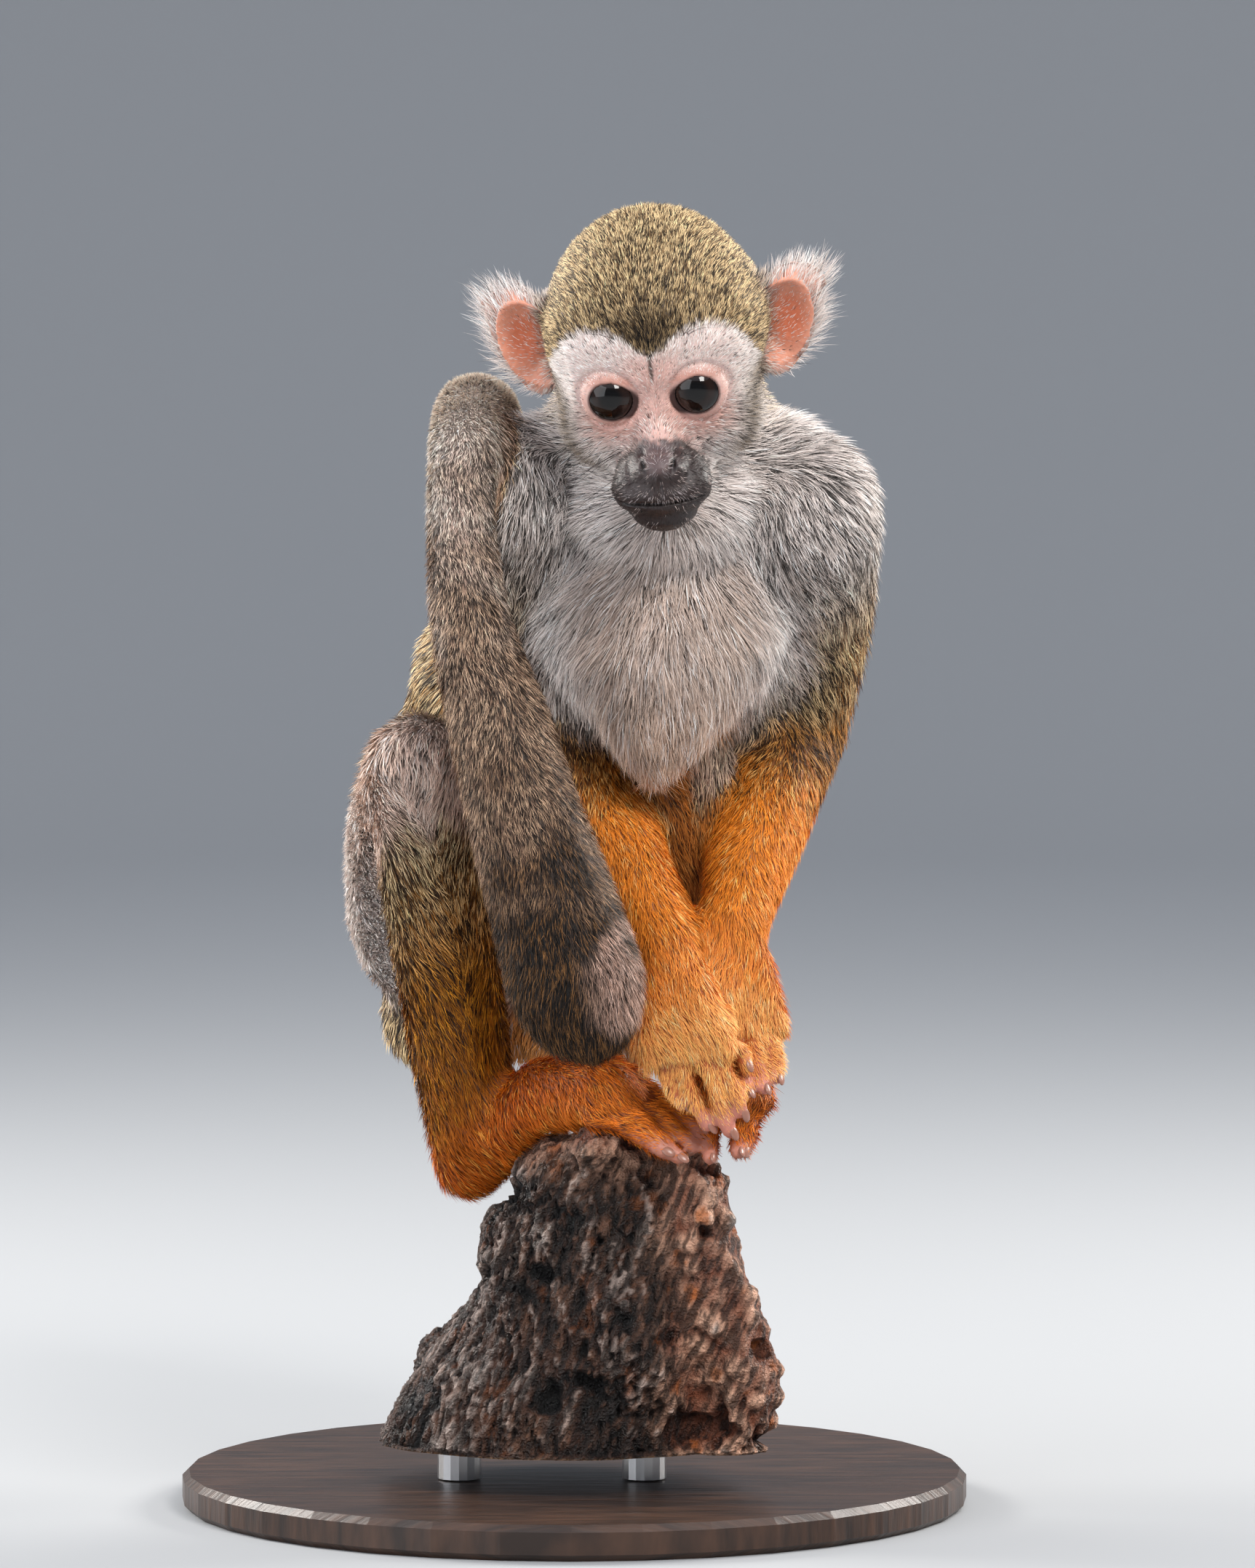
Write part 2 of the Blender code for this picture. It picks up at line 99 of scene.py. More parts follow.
# The coat on each part of the body: length and width in mm, tufts in a square mm, lift in degrees.
COAT = {
    "head": dict(length=2.4, width=0.17, density=11.0, lift=42),
    "muzzle": dict(length=1.5, width=0.13, density=4.0, lift=26),
    "ear": dict(length=1.6, width=0.16, density=2.4, lift=30),
    "neck": dict(length=8.0, width=0.21, density=4.9, lift=28),
    "chest": dict(length=9.0, width=0.21, density=4.7, lift=22),
    "abdomen": dict(length=5.0, width=0.34, density=2.0, lift=28),
    "upper_arm": dict(length=6.0, width=0.23, density=3.6, lift=30),
    "forearm": dict(length=4.5, width=0.21, density=4.3, lift=26),
    "hand": dict(length=4.6, width=0.18, density=5.8, lift=26),
    "finger": dict(length=2.8, width=0.18, density=6.5, lift=17),
    "thigh": dict(length=5.0, width=0.27, density=2.8, lift=29),
    "shin": dict(length=4.4, width=0.23, density=3.6, lift=28),
    "foot": dict(length=4.0, width=0.21, density=4.4, lift=26),
    "toe": dict(length=3.2, width=0.19, density=5.0, lift=22),
    "tail": dict(length=2.9, width=0.16, density=6.4, lift=40),
}
GROUPS = tuple(COAT)
MOUTH_HEIGHT, MOUTH_CURVE = -19.2, -0.003  # head places of the mouth's line, and its rise to the sides
SMOOTHING = dict(head=8, muzzle=2, ear=2, hand=5, finger=1, foot=6, toe=1)  # rounds; the rest get BODY_ROUNDS
BODY_ROUNDS = 22
SWELL = 0.45  # mm that the solids grow by, so that they join
CLUMP_REACH = 2.5  # mm
COAT_RISE = 0.6  # how high the coat stands, against its length and lift
FIBRE_LEAN = math.radians(22)  # of the branch's grain
SKIN_CELL, BRANCH_CELL = 0.8, 0.9  # mm
SKIN_KEPT = 0.28  # share of the body's faces left after thinning
SHORT, LONG, LONG_FROM = (0.0, 0.5, 1.0), (0.0, 0.38, 0.72, 1.0), 5.2  # tufts' rows, and mm from which long
PATCH = 0.003  # of the bake map under each tuft
BACK_COAT, FRONT_COAT = 0.6, 0.5  # tufts at the back against the density above, and what the front adds
BARE_LOSS = 0.72  # share of the tufts missing where the skin is bare
LEADERS = 0.2  # share of the tufts that others gather round
DARK_TUFTS, PALE_TUFTS, DARK_TIPS = 0.42, 0.32, 0.25  # shares in a fully flecked coat


# ---------------- the frame's solids


def group_of(node):
    """The kind of part that a node is, without its side or number."""
    return re.sub(r"_(left|right|\d)(_\d)?$", "", node)


def side_of(node):
    return "left" if "_left" in node else "right" if "_right" in node else ""


SOFT_NODES = sorted(n for n in frame["nodes"] if group_of(n) in COAT)


def arrays_of(shape):
    """The corners and triangles of a bmesh, which it frees."""
    bmesh.ops.triangulate(shape, faces=shape.faces)
    shape.verts.index_update()
    points = np.array([v.co for v in shape.verts])
    triangles = np.array([[v.index for v in f.verts] for f in shape.faces])
    shape.free()
    return points, triangles


def solid(node):
    """The corners (mm) and triangles of a CAD node, with its split corners made one."""
    shape = bmesh.new()
    shape.from_mesh(frame["nodes"][node].data)
    bmesh.ops.remove_doubles(shape, verts=shape.verts, dist=1e-6)
    points, triangles = arrays_of(shape)
    return points / MM, triangles


SOLIDS = {node: solid(node) for node in [*SOFT_NODES, "perch"]}


def box_of(node):
    """The lowest and highest corner (mm) of a node."""
    return (np.array(corner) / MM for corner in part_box(node))


def centre(node):
    low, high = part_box(node)
    return np.array((low + high) / 2) / MM


def unit(vectors):
    return vectors / np.maximum(np.linalg.norm(vectors, axis=-1, keepdims=True), 1e-9)


def turning(degrees, axis):
    return np.array(Matrix.Rotation(math.radians(degrees), 3, axis))


HEAD_TURN = turning(-HEAD_ROLL, "Y") @ turning(HEAD_PITCH, "X") @ turning(-HEAD_YAW, "Z")
HEAD_ORIGIN = (centre("eye_left") + centre("eye_right")) / 2 - HEAD_TURN @ (0, EYE_DEPTH, 0)


def to_head(points):
    return (np.asarray(points) - HEAD_ORIGIN) @ HEAD_TURN


def from_head(points):
    return np.asarray(points) @ HEAD_TURN.T + HEAD_ORIGIN


def cap_edge(side):
    """How high over the eyes the olive cap's edge runs, by the distance from the midline."""
    across = (0, 1.5, 3, 6, 9, 14, 18, 20.5, 22, 23.5, 26)
    return np.interp(side, across, (9.6, 10.4, 11.3, 13.2, 14.2, 14.3, 12.0, 8.5, 4.5, -4, -16))


def ramp(low, high, values):
    """0 below low, 1 above high and smooth between."""
    t = np.clip((values - low) / (high - low), 0, 1)
    return t * t * (3 - 2 * t)


def hump(*reaches):
    """1 where all the reaches are 0, falling smoothly away to 0 past 1."""
    return np.exp(-sum(reach**2 for reach in reaches))


def waver(points, scale):
    """Smooth noise at each of the points, from about -1 to 1."""
    return np.array([noise.noise(Vector(p) * scale) for p in points])


def along_normal(vectors, normals):
    return normals * (vectors * normals).sum(axis=1, keepdims=True)


# ---------------- meshes


def make_mesh(name, points, faces, colours=None):
    """A shaded-smooth object from corners in mm and faces that all have the same number of corners."""
    faces = np.ascontiguousarray(faces, np.int32)
    mesh = bpy.data.meshes.new(name)
    mesh.vertices.add(len(points))
    mesh.vertices.foreach_set("co", (points * MM).astype(np.float32).ravel())
    mesh.loops.add(faces.size)
    mesh.loops.foreach_set("vertex_index", faces.ravel())
    mesh.polygons.add(len(faces))
    mesh.polygons.foreach_set("loop_start", np.arange(0, faces.size, faces.shape[1], dtype=np.int32))
    mesh.update(calc_edges=True)
    mesh.shade_smooth()
    if colours is not None:
        paint(mesh, colours)
    return linked(name, mesh)


def linked(name, data):
    """An object with this data, in the scene."""
    made = bpy.data.objects.new(name, data)
    bpy.context.scene.collection.objects.link(made)
    return made


def paint(mesh, colours):
    """Gives each corner of the mesh its linear colour, or all of them one."""
    layer = mesh.color_attributes.new(COLOUR, "FLOAT_COLOR", "POINT")
    full = np.ones((len(mesh.vertices), 4), np.float32)
    full[:, :3] = colours
    layer.data.foreach_set("color", full.ravel())


def settle(obj):
    """Makes the modifiers of obj part of its mesh."""
    bpy.context.view_layer.update()
    graph = bpy.context.evaluated_depsgraph_get()
    mesh = bpy.data.meshes.new_from_object(obj.evaluated_get(graph))
    obj.modifiers.clear()
    old, obj.data = obj.data, mesh
    bpy.data.meshes.remove(old)


def read(items, what, width, kind=np.float32):
    """One property of all of a mesh's corners, edges or faces, a row for each."""
    values = np.empty(len(items) * width, kind)
    items.foreach_get(what, values)
    return values.reshape(-1, width)


def corners_of(mesh):
    return read(mesh.vertices, "co", 3).astype(float) / MM


def put_corners(mesh, points):
    mesh.vertices.foreach_set("co", (points * MM).astype(np.float32).ravel())
    mesh.update()


def normals_of(mesh):
    return read(mesh.vertex_normals, "vector", 3).astype(float)


def edges_of(mesh):
    return read(mesh.edges, "vertices", 2, np.int32)


def triangles_of(mesh):
    """The corners of each triangle, and its loops."""
    mesh.calc_loop_triangles()
    return (read(mesh.loop_triangles, what, 3, np.int32) for what in ("vertices", "loops"))


def joined(pieces):
    """Many (corners, faces) as one."""
    starts = np.cumsum([0] + [len(points) for points, _ in pieces])
    faces = [faces + start for (_, faces), start in zip(pieces, starts)]
    return np.concatenate([points for points, _ in pieces]), np.concatenate(faces)


def evened(obj, cell):
    """Gives obj even faces, cell mm across, and returns its mesh."""
    remesh = obj.modifiers.new("Even", "REMESH")
    remesh.mode, remesh.voxel_size = "VOXEL", cell * MM
    settle(obj)
    return obj.data


def relaxed(values, edges, rounds):
    """Values at corners, evened out along the edges in each of some rounds, or each corner's own number."""
    values = values.copy()
    one, other = edges.T
    count = len(values)
    degree = np.bincount(one, minlength=count) + np.bincount(other, minlength=count)
    degree = np.maximum(degree, 1)
    for step in range(np.max(rounds)):
        share = 0.5 * (rounds > step)
        for k in range(values.shape[1]):
            sums = np.bincount(one, values[other, k], count) + np.bincount(other, values[one, k], count)
            values[:, k] += share * (sums / degree - values[:, k])
    return values


def sampled(points, triangles, density, rng):
    """Places spread evenly over triangles: the index of each one's triangle, and its corner weights."""
    a, b, c = (points[triangles[:, k]] for k in range(3))
    areas = np.linalg.norm(np.cross(b - a, c - a), axis=1) / 2
    expected = areas * density
    counts = np.floor(expected + rng.random(len(expected))).astype(int)
    index = np.repeat(np.arange(len(triangles)), counts)
    u, v = rng.random(len(index)), rng.random(len(index))
    over = u + v > 1
    u[over], v[over] = 1 - u[over], 1 - v[over]
    return index, np.stack([1 - u - v, u, v], axis=1)


# ---------------- where each place is on the body


def middle(node):
    return SOLIDS[node][0].mean(axis=0)


def axis_between(before, after):
    return unit(middle(after) - middle(before))


def tail_line():
    """Places along the middle of the tail, root to tip."""
    tails = [n for n in SOFT_NODES if group_of(n) == "tail"]
    places = [middle(n) for n in tails]
    first = SOLIDS[tails[0]][0]
    root = first[np.argsort(np.linalg.norm(first - middle("abdomen"), axis=1))[:12]].mean(axis=0)
    last = SOLIDS[tails[-1]][0]
    tip = last[np.argmin(last[:, 2])]
    return np.array([root, *places, tip])


def on_line(line, points):
    """How far along a polyline each point lies, in lengths of it, and the way the line runs there."""
    best = np.full(len(points), np.inf)
    along = np.zeros(len(points))
    for i, (start, end) in enumerate(zip(line, line[1:])):
        way = end - start
        t = np.clip(((points - start) @ way) / (way @ way), 0, 1)
        gap = np.linalg.norm(points - start - t[:, None] * way, axis=1)
        nearer = gap < best
        best[nearer], along[nearer] = gap[nearer], i + t[nearer]
    runs = unit(np.diff(line, axis=0))
    at = np.clip(along - 0.5, 0, len(runs) - 1)
    low = np.floor(at).astype(int)
    high = np.minimum(low + 1, len(runs) - 1)
    share = (at - low)[:, None]
    return along, unit(runs[low] * (1 - share) + runs[high] * share)


CHAINS = (
    ("chest", "upper_arm", "forearm", "hand", "finger"),
    ("abdomen", "thigh", "shin", "foot", "toe"),
)


def lie_of_coat(node, points):
    """(how far along its limb, the way the hair lies) at points on a node's solid."""
    group, side = group_of(node), side_of(node)
    along = np.zeros(len(points))
    if group == "tail":
        return on_line(tail_line(), points)
    if group in ("head", "muzzle"):
        places = to_head(points)
        away = unit(places - NOSE)
        away[:, 1] += 0.35
        away[:, 2] -= 1.3 * ramp(10, 42, places[:, 1])
        return along, unit(away) @ HEAD_TURN.T
    if group == "ear":
        base = from_head((SIDES[side] * 22, 29, -4))
        return along, unit(unit(points - base) + np.array((0, 0.25, 0.1)))
    if group in ("neck", "chest"):
        away = unit(points - from_head(THROAT))
        away[:, 2] -= 0.75
        away[:, 1] += 0.9 * ramp(15, 45, points[:, 1] - from_head(THROAT)[1])
        return along, unit(away)
    if group == "abdomen":
        return along, np.tile(unit(np.array((-0.15, 0.45, -1.0))), (len(points), 1))
    chain = next(c for c in CHAINS if group in c)
    place = chain.index(group)
    if group in ("finger", "toe"):
        way = axis_between(f"{chain[3]}_{side}", node)
    elif group in ("hand", "foot"):
        way = axis_between(f"{chain[2]}_{side}", f"{chain[4]}_{side}_3")
    else:
        before = chain[0] if place == 1 else f"{chain[place - 1]}_{side}"
        way = axis_between(before, f"{chain[place + 1]}_{side}")
    reach = points @ way
    along = (reach - reach.min()) / np.ptp(reach)
    return place - 1 + along, np.tile(way, (len(points), 1))


class Atlas:
    """What part of the body is near a place, how far along its limb, and how its hair lies."""

    def __init__(self):
        rng = np.random.default_rng(5)
        samples = []
        for node in SOFT_NODES:
            points, triangles = SOLIDS[node]
            index, weights = sampled(points, triangles, 0.35, rng)
            at = np.einsum("nk,nkc->nc", weights, points[triangles[index]])
            samples.append((at, np.full(len(at), GROUPS.index(group_of(node))), *lie_of_coat(node, at)))
        self.places, self.groups, self.alongs, self.ways = map(np.concatenate, zip(*samples))
        self.tree = kdtree.KDTree(len(self.places))
        for i, place in enumerate(self.places):
            self.tree.insert(place, i)
        self.tree.balance()

    def read(self, points, near=6, blur=2.2):
        """(share of each group, along, way) at points, from the nearest samples."""
        found = [self.tree.find_n(p, near) for p in points.tolist()]
        index = np.array([[f[1] for f in row] for row in found])
        gap = np.array([[f[2] for f in row] for row in found])
        weight = np.exp(-(gap - gap[:, :1]) / blur)
        weight /= weight.sum(axis=1, keepdims=True)
        shares = np.zeros((len(points), len(GROUPS)))
        for k in range(near):
            np.add.at(shares, (np.arange(len(points)), self.groups[index[:, k]]), weight[:, k])
        along = (weight * self.alongs[index]).sum(axis=1)
        way = np.einsum("nk,nkc->nc", weight, self.ways[index])
        return shares, along, unit(way)


def share_of(shares, *names):
    return shares[:, [GROUPS.index(n) for n in names]].sum(axis=1)


def by_group(shares, key):
    return shares @ np.array([COAT[g][key] for g in GROUPS], float)


# ---------------- skin


def ball(radius, segments=12, rings=8):
    """Corners and triangles of a round ball."""
    shape = bmesh.new()
    bmesh.ops.create_uvsphere(shape, u_segments=segments, v_segments=rings, radius=radius)
    return arrays_of(shape)


def digit_line(node):
    """Five places along the middle of a finger or toe, from inside the hand or foot to its tip."""
    hub = middle(node[: node.rindex("_")].replace("finger", "hand").replace("toe", "foot"))
    points = SOLIDS[node][0]
    mean = points.mean(axis=0)
    way = np.linalg.svd(points - mean)[2][0]
    way *= np.sign(way @ (mean - hub)) or 1
    reach = (points - mean) @ way
    cuts = np.quantile(reach, (0, 0.33, 0.67, 1))
    slices = [points[(reach >= a) & (reach <= b)].mean(axis=0) for a, b in zip(cuts, cuts[1:])]
    start, end = mean + way * (reach.min() - 4), mean + way * (reach.max() - 1.6)
    return np.array([start, *slices, end])


def digit_balls(node):
    """Balls along a finger or toe, fuller at the joints and at the tip."""
    line = digit_line(node)
    steps = np.linspace(0, 1, 22)
    at = np.stack([np.interp(steps, np.linspace(0, 1, len(line)), line[:, k]) for k in range(3)], axis=1)
    joints = sum(np.exp(-(((steps - j) / 0.05) ** 2)) for j in (0.45, 0.7))
    radii = 2.05 - 0.35 * steps + 0.18 * joints + 0.12 * (steps > 0.9)
    return zip(at, radii)


def rough_body():
    """All soft solids a little swollen, with slimmer digits and filled eyes, as one mesh."""
    pieces = []
    round_points, round_faces = ball(1.0)
    for node in SOFT_NODES:
        if group_of(node) in ("finger", "toe"):
            pieces += [(round_points * radius + at, round_faces) for at, radius in digit_balls(node)]
            continue
        corners, faces = SOLIDS[node]
        made = make_mesh("solid", corners, faces)
        pieces.append((corners + normals_of(made.data) * SWELL, faces))
        bpy.data.objects.remove(made)
    for side in SIDES:
        points, faces = ball(EYE_RADIUS + 0.7, 20, 14)[0], ball(1, 20, 14)[1]
        pieces.append((points + centre(f"eye_{side}"), faces))
    return make_mesh("skin", *joined(pieces))


def eye_place(head, sign):
    """(how far from the eye's middle, how far out of the lids' opening) at head places."""
    from_eye = head - np.array((sign * EYE_OUT, EYE_DEPTH, 0))
    gap = np.linalg.norm(from_eye, axis=1)
    scale = EYE_RADIUS / np.maximum(gap, 1)
    out, up = from_eye[:, 0] * sign * scale, from_eye[:, 2] * scale
    corner = np.abs(out + 0.2) / LIDS_WIDE
    height = np.where(up > 0, LIDS_UP, LIDS_DOWN) * (1 - 0.12 * np.clip(-out / 5, 0, 1))
    opening = (corner**2.2 + np.abs((up + 0.2 - 0.07 * out) / height) ** 2) ** 0.48
    opening += 0.45 * np.maximum(gap - EYE_RADIUS - 1.0, 0)
    return gap, np.where(from_eye[:, 1] < 0, opening, 9.0)


def out_of_lids(head):
    """How far head places are out of the nearer eye's opening: 1 is its edge."""
    return np.minimum(*(eye_place(head, sign)[1] for sign in SIDES.values()))


def ear_place(head, side):
    """(how far out from the ear's middle with 1 at its edge, how deep, how high) at head places."""
    out, deep, up = ((head - to_head(middle(f"ear_{side}"))) * (SIDES[side], 1, 1)).T
    return np.sqrt((out / EAR_WIDE) ** 2 + (up / EAR_TALL) ** 2), deep, up


def shape_face(points):
    """Lids, brow, nostrils, mouth and ears, pressed into skin corners (mm) of the head."""
    head = to_head(points)
    for sign in SIDES.values():
        eye = np.array((sign * EYE_OUT, EYE_DEPTH, 0))
        gap, opening = eye_place(head, sign)
        lid = EYE_RADIUS + 0.22 + 0.5 * ramp(1.0, 1.35, opening)
        wanted = np.where(opening < 1, EYE_RADIUS - 1.1, lid)
        weight = 1 - ramp(1.35, 1.9, opening)
        near = weight > 0
        moved = eye + (head - eye) / gap[:, None] * (gap + weight * (wanted - gap))[:, None]
        head[near] = moved[near]
        head[:, 1] += 0.35 * hump((opening - 1.62) / 0.1) * (gap < EYE_RADIUS + 4)
    x, y, z = head.T
    side = np.abs(x)
    nose = z - NOSTRIL_HEIGHT
    lips = z - MOUTH_HEIGHT - MOUTH_CURVE * x**2
    pressed = (
        2.2 * hump((side - NOSTRIL_OUT - 0.25 * nose) / 0.7, nose / 1.25)
        - 0.7 * hump((side - 5.0) / 1.3, (nose + 0.2) / 1.7)
        + 0.5 * hump((side - 7.2 - 0.3 * (nose - 0.2)) / 0.8) * ramp(-17, -13, z) * ramp(-7, -9, z)
        + 0.9 * hump(lips / 0.42) * ramp(9.8, 8, side)
        - 0.45 * hump((lips - 1.9) / 1.5) * ramp(9.5, 6, side)
        - 0.3 * hump((lips + 1.5) / 1.1) * ramp(8, 5, side)
        + 0.45 * hump(x / 0.45) * ramp(-18.5, -16.5, z) * ramp(-12, -14, z)
    )
    brow = hump(side / 0.7) * ramp(2, 5, z) * ramp(12, 9, z) * ramp(8, 4, y)
    head[:, 1] += pressed * ramp(6, -2, y)
    for name in SIDES:
        reach, deep, up = ear_place(head, name)
        inner = ramp(1.0, -1.0, deep) * (np.abs(deep) < 8)
        fold = hump((reach - 0.6 - 0.1 * np.sin(3 * up / EAR_TALL)) / 0.12) * ramp(-6, 2, up)
        head[:, 1] += inner * (1.9 * ramp(0.95, 0.4, reach) - 1.3 * fold)
    head[:, 1] += 0.35 * brow
    return from_head(head)


def refine(mesh, chosen):
    """Halves the edges between the chosen corners."""
    shape = bmesh.new()
    shape.from_mesh(mesh)
    shape.verts.ensure_lookup_table()
    edges = [e for e in shape.edges if chosen[e.verts[0].index] and chosen[e.verts[1].index]]
    bmesh.ops.subdivide_edges(shape, edges=edges, cuts=1, use_grid_fill=True)
    bmesh.ops.triangulate(shape, faces=[f for f in shape.faces if len(f.verts) > 4])
    shape.to_mesh(mesh)
    shape.free()


def make_skin(atlas):
    """The one skin, inside the solids by the depth of the coat."""
    skin = rough_body()
    mesh = evened(skin, SKIN_CELL)
    points, edges = corners_of(mesh), edges_of(mesh)
    shares = atlas.read(points, near=4)[0]
    rounds = shares @ np.array([SMOOTHING.get(g, BODY_ROUNDS) for g in GROUPS], float)
    points = relaxed(points, edges, rounds.round().astype(int))
    put_corners(mesh, points)
    length = coat_lengths(points, normals_of(mesh), shares, np.zeros(len(points)))[0]
    depth = SWELL + COAT_RISE * length * np.sin(np.radians(by_group(shares, "lift")))
    depth *= 1 - share_of(shares, "finger", "toe")
    points -= normals_of(mesh) * relaxed(depth[:, None], edges, 6)
    after = np.where(share_of(shares, "head", "muzzle", "ear", "hand", "finger", "toe", "foot") > 0.5, 1, 8)
    put_corners(mesh, relaxed(points, edges, after))
    for reach in (1.0, 0.62):
        head = to_head(corners_of(mesh))
        oval = np.sqrt((head[:, 0] / 21) ** 2 + ((head[:, 2] + 8) / 24) ** 2)
        refine(mesh, (oval < reach) & (head[:, 1] < 14))
    put_corners(mesh, shape_face(corners_of(mesh)))
    head = to_head(corners_of(mesh))
    kept = (head[:, 1] < 14) & (np.abs(head[:, 0]) < 22) & (np.abs(head[:, 2] + 8) < 25)
    coarse = skin.vertex_groups.new(name="coarse")
    coarse.add(np.flatnonzero(~kept).tolist(), 1.0, "REPLACE")
    decimate = skin.modifiers.new("Decimate", "DECIMATE")
    decimate.ratio, decimate.vertex_group = SKIN_KEPT, coarse.name
    settle(skin)
    skin.data.shade_smooth()
    unwrap(skin)
    return skin


def unwrap(obj):
    """A bake map on an unwrap of the object's own shape."""
    obj.data.uv_layers.new(name=BAKE_MAP)
    bpy.ops.object.select_all(action="DESELECT")
    bpy.context.view_layer.objects.active = obj
    obj.select_set(True)
    bpy.ops.object.mode_set(mode="EDIT")
    bpy.ops.mesh.select_all(action="SELECT")
    bpy.ops.uv.smart_project(angle_limit=math.radians(66), island_margin=0.002)
    bpy.ops.object.mode_set(mode="OBJECT")


# ---------------- markings


def rgb(red, green, blue):
    """A linear colour from the 0 to 255 values that a screen shows."""
    c = np.array((red, green, blue)) / 255
    return np.where(c <= 0.04045, c / 12.92, ((c + 0.055) / 1.055) ** 2.4)


OLIVE, GOLD, BLACK = rgb(138, 108, 72), rgb(234, 202, 152), rgb(30, 22, 16)
WHITE, PALE, GREY = rgb(244, 232, 226), rgb(208, 186, 172), rgb(208, 196, 189)
ORANGE, DEEP, AMBER = rgb(234, 138, 40), rgb(246, 150, 62), rgb(150, 88, 10)
UMBER = rgb(62, 34, 14)
RED = rgb(180, 96, 62)
EAR_PINK = rgb(244, 164, 134)


def layered(colour, *layers):
    """A colour at each place: the first, with each layer's (colour, share) over it in turn."""
    for over, share in layers:
        share = np.clip(share, 0, 1)[:, None]
        colour = colour * (1 - share) + over * share
    return colour


class Markings:
    """Colours at places on the body: the hair's main and second colour, how flecked, and the skin's.

    Each kind of part has a method that returns these for its places: main, second, fleck, bare and skin.
    Bare is how thin the hair is.
    """

    def __init__(self, points, normals, shares, along):
        self.points, self.normals, self.along = points, normals, along
        self.near_head = to_head(points)
        self.main, self.second, self.skin = (np.zeros((len(points), 3)) for _ in range(3))
        self.fleck, self.bare = (np.zeros(len(points)) for _ in range(2))
        for group in GROUPS:
            share = share_of(shares, group)
            on = share > 0.004
            if on.any():
                maker = getattr(self, {"finger": "hand", "toe": "foot"}.get(group, group))
                main, second, fleck, bare, skin = maker(on)
                self.main[on] += share[on, None] * main
                self.second[on] += share[on, None] * second
                self.fleck[on] += share[on] * fleck
                self.bare[on] += share[on] * bare
                self.skin[on] += share[on, None] * skin

    def head(self, on):
        x, y, z = self.near_head[on].T
        side = np.abs(x)
        opening = out_of_lids(self.near_head[on])
        rough = waver(self.points[on], 0.9)
        cap = ramp(-0.8, 0.8, z - cap_edge(side) + 0.9 * rough)
        cap = np.maximum(cap, ramp(19, 24, y) * ramp(-14, -8, z))
        peak = hump(side / 8.5, (z - 13.5) / 5.5) * ramp(14, 6, y)
        thread = hump(side / 0.5) * ramp(2, 6, z) * ramp(13, 9, z) * ramp(8, 4, y)
        ring = ramp(1.9, 1.2, opening) * (0.55 + 0.45 * ramp(10, 16, side))
        bridge = hump((side / 6.5) ** 2) * ramp(12, 6, z) * ramp(-13, -8, z)
        under = hump((side - 11) / 7, (z + 7) / 5)
        pink = np.clip(0.2 * ring + 0.6 * bridge + 0.85 * under, 0, 1) * ramp(9, 5, y)
        cheek = hump((side - 23 - 0.42 * z) / 2.6) * ramp(3, -2, z) * ramp(-24, -18, z)
        jaw = ramp(-9, -18, z) * ramp(9, 14, side) * 0.5
        temple = hump((side - 25) / 2.2) * ramp(10, 4, z) * ramp(-16, -9, z) * ramp(22, 14, y)
        main = layered(
            WHITE * 0.92,
            (rgb(226, 176, 160), pink),
            (rgb(116, 102, 84), np.clip(cheek + jaw * rough, 0, 1) * 0.75),
            (OLIVE, cap),
            (rgb(66, 48, 32), temple * 0.85),
            (BLACK, 0.95 * peak * cap + 0.9 * thread),
        )
        second = layered(
            rgb(250, 240, 232),
            (GOLD, cap),
            (OLIVE * 0.6, peak * cap * 0.9),
            (rgb(150, 132, 112), np.maximum(cheek, temple)),
        )
        skin = layered(
            rgb(232, 204, 196),
            (rgb(234, 178, 164), pink),
            (RED, ramp(1.5, 1.1, opening) * (0.12 + 0.5 * ramp(2.0, 4.5, z) + 0.35 * ramp(13, 17, side))),
            (OLIVE * 0.5, cap),
            (BLACK, np.clip(thread + peak * cap, 0, 1) * 0.8),
            (rgb(60, 26, 18), ramp(1.12, 0.98, opening)),
        )
        fleck = np.clip(0.14 + 0.9 * cap * (1 - 0.3 * peak) + 0.5 * cheek, 0, 1)
        bare = np.clip(0.15 + 0.55 * pink, 0, 1) * (1 - cap) * ramp(10, 4, y)
        return main, second, fleck, bare, skin

    def muzzle(self, on):
        x, y, z = self.near_head[on].T
        oval = np.sqrt(((x + 0.5) / 12.6) ** 2 + ((z + 18.2) / 9.9) ** 2) + 0.12 * waver(self.points[on], 0.6)
        dark = ramp(1.06, 0.94, oval) * ramp(9, 5, y)
        top = ramp(-14, -10.5, z) * hump((x / 4) ** 2)
        nostril = hump((np.abs(x) - NOSTRIL_OUT) / 0.75, (z - NOSTRIL_HEIGHT) / 1.2)
        mouth = hump((z - MOUTH_HEIGHT - MOUTH_CURVE * x**2) / 0.45) * ramp(9.5, 8, np.abs(x))
        skin = layered(
            rgb(226, 182, 170),
            (rgb(44, 28, 25), dark),
            # The lighter top of the dark nose skin is a painted highlight.
            (rgb(118, 96, 96), dark * top * 0.6),
            (rgb(34, 20, 18), dark * ramp(-19, -22, z) * 0.7),
            # Near black in the nostrils and along the mouth's line: painted shade in these hollows.
            (BLACK * 0.3, nostril + 0.7 * mouth),
        )
        pale = np.clip(top + hump((z + 17) / 1.6) * ramp(9, 6, np.abs(x)), 0, 1)
        main = layered(rgb(225, 208, 200), (rgb(34, 24, 22), dark), (rgb(168, 156, 156), dark * pale * 0.8))
        second = layered(WHITE, (rgb(172, 156, 150), dark))
        return main, second, 0.3, dark * (0.25 + 0.7 * ramp(-18.5, -21, z)), skin

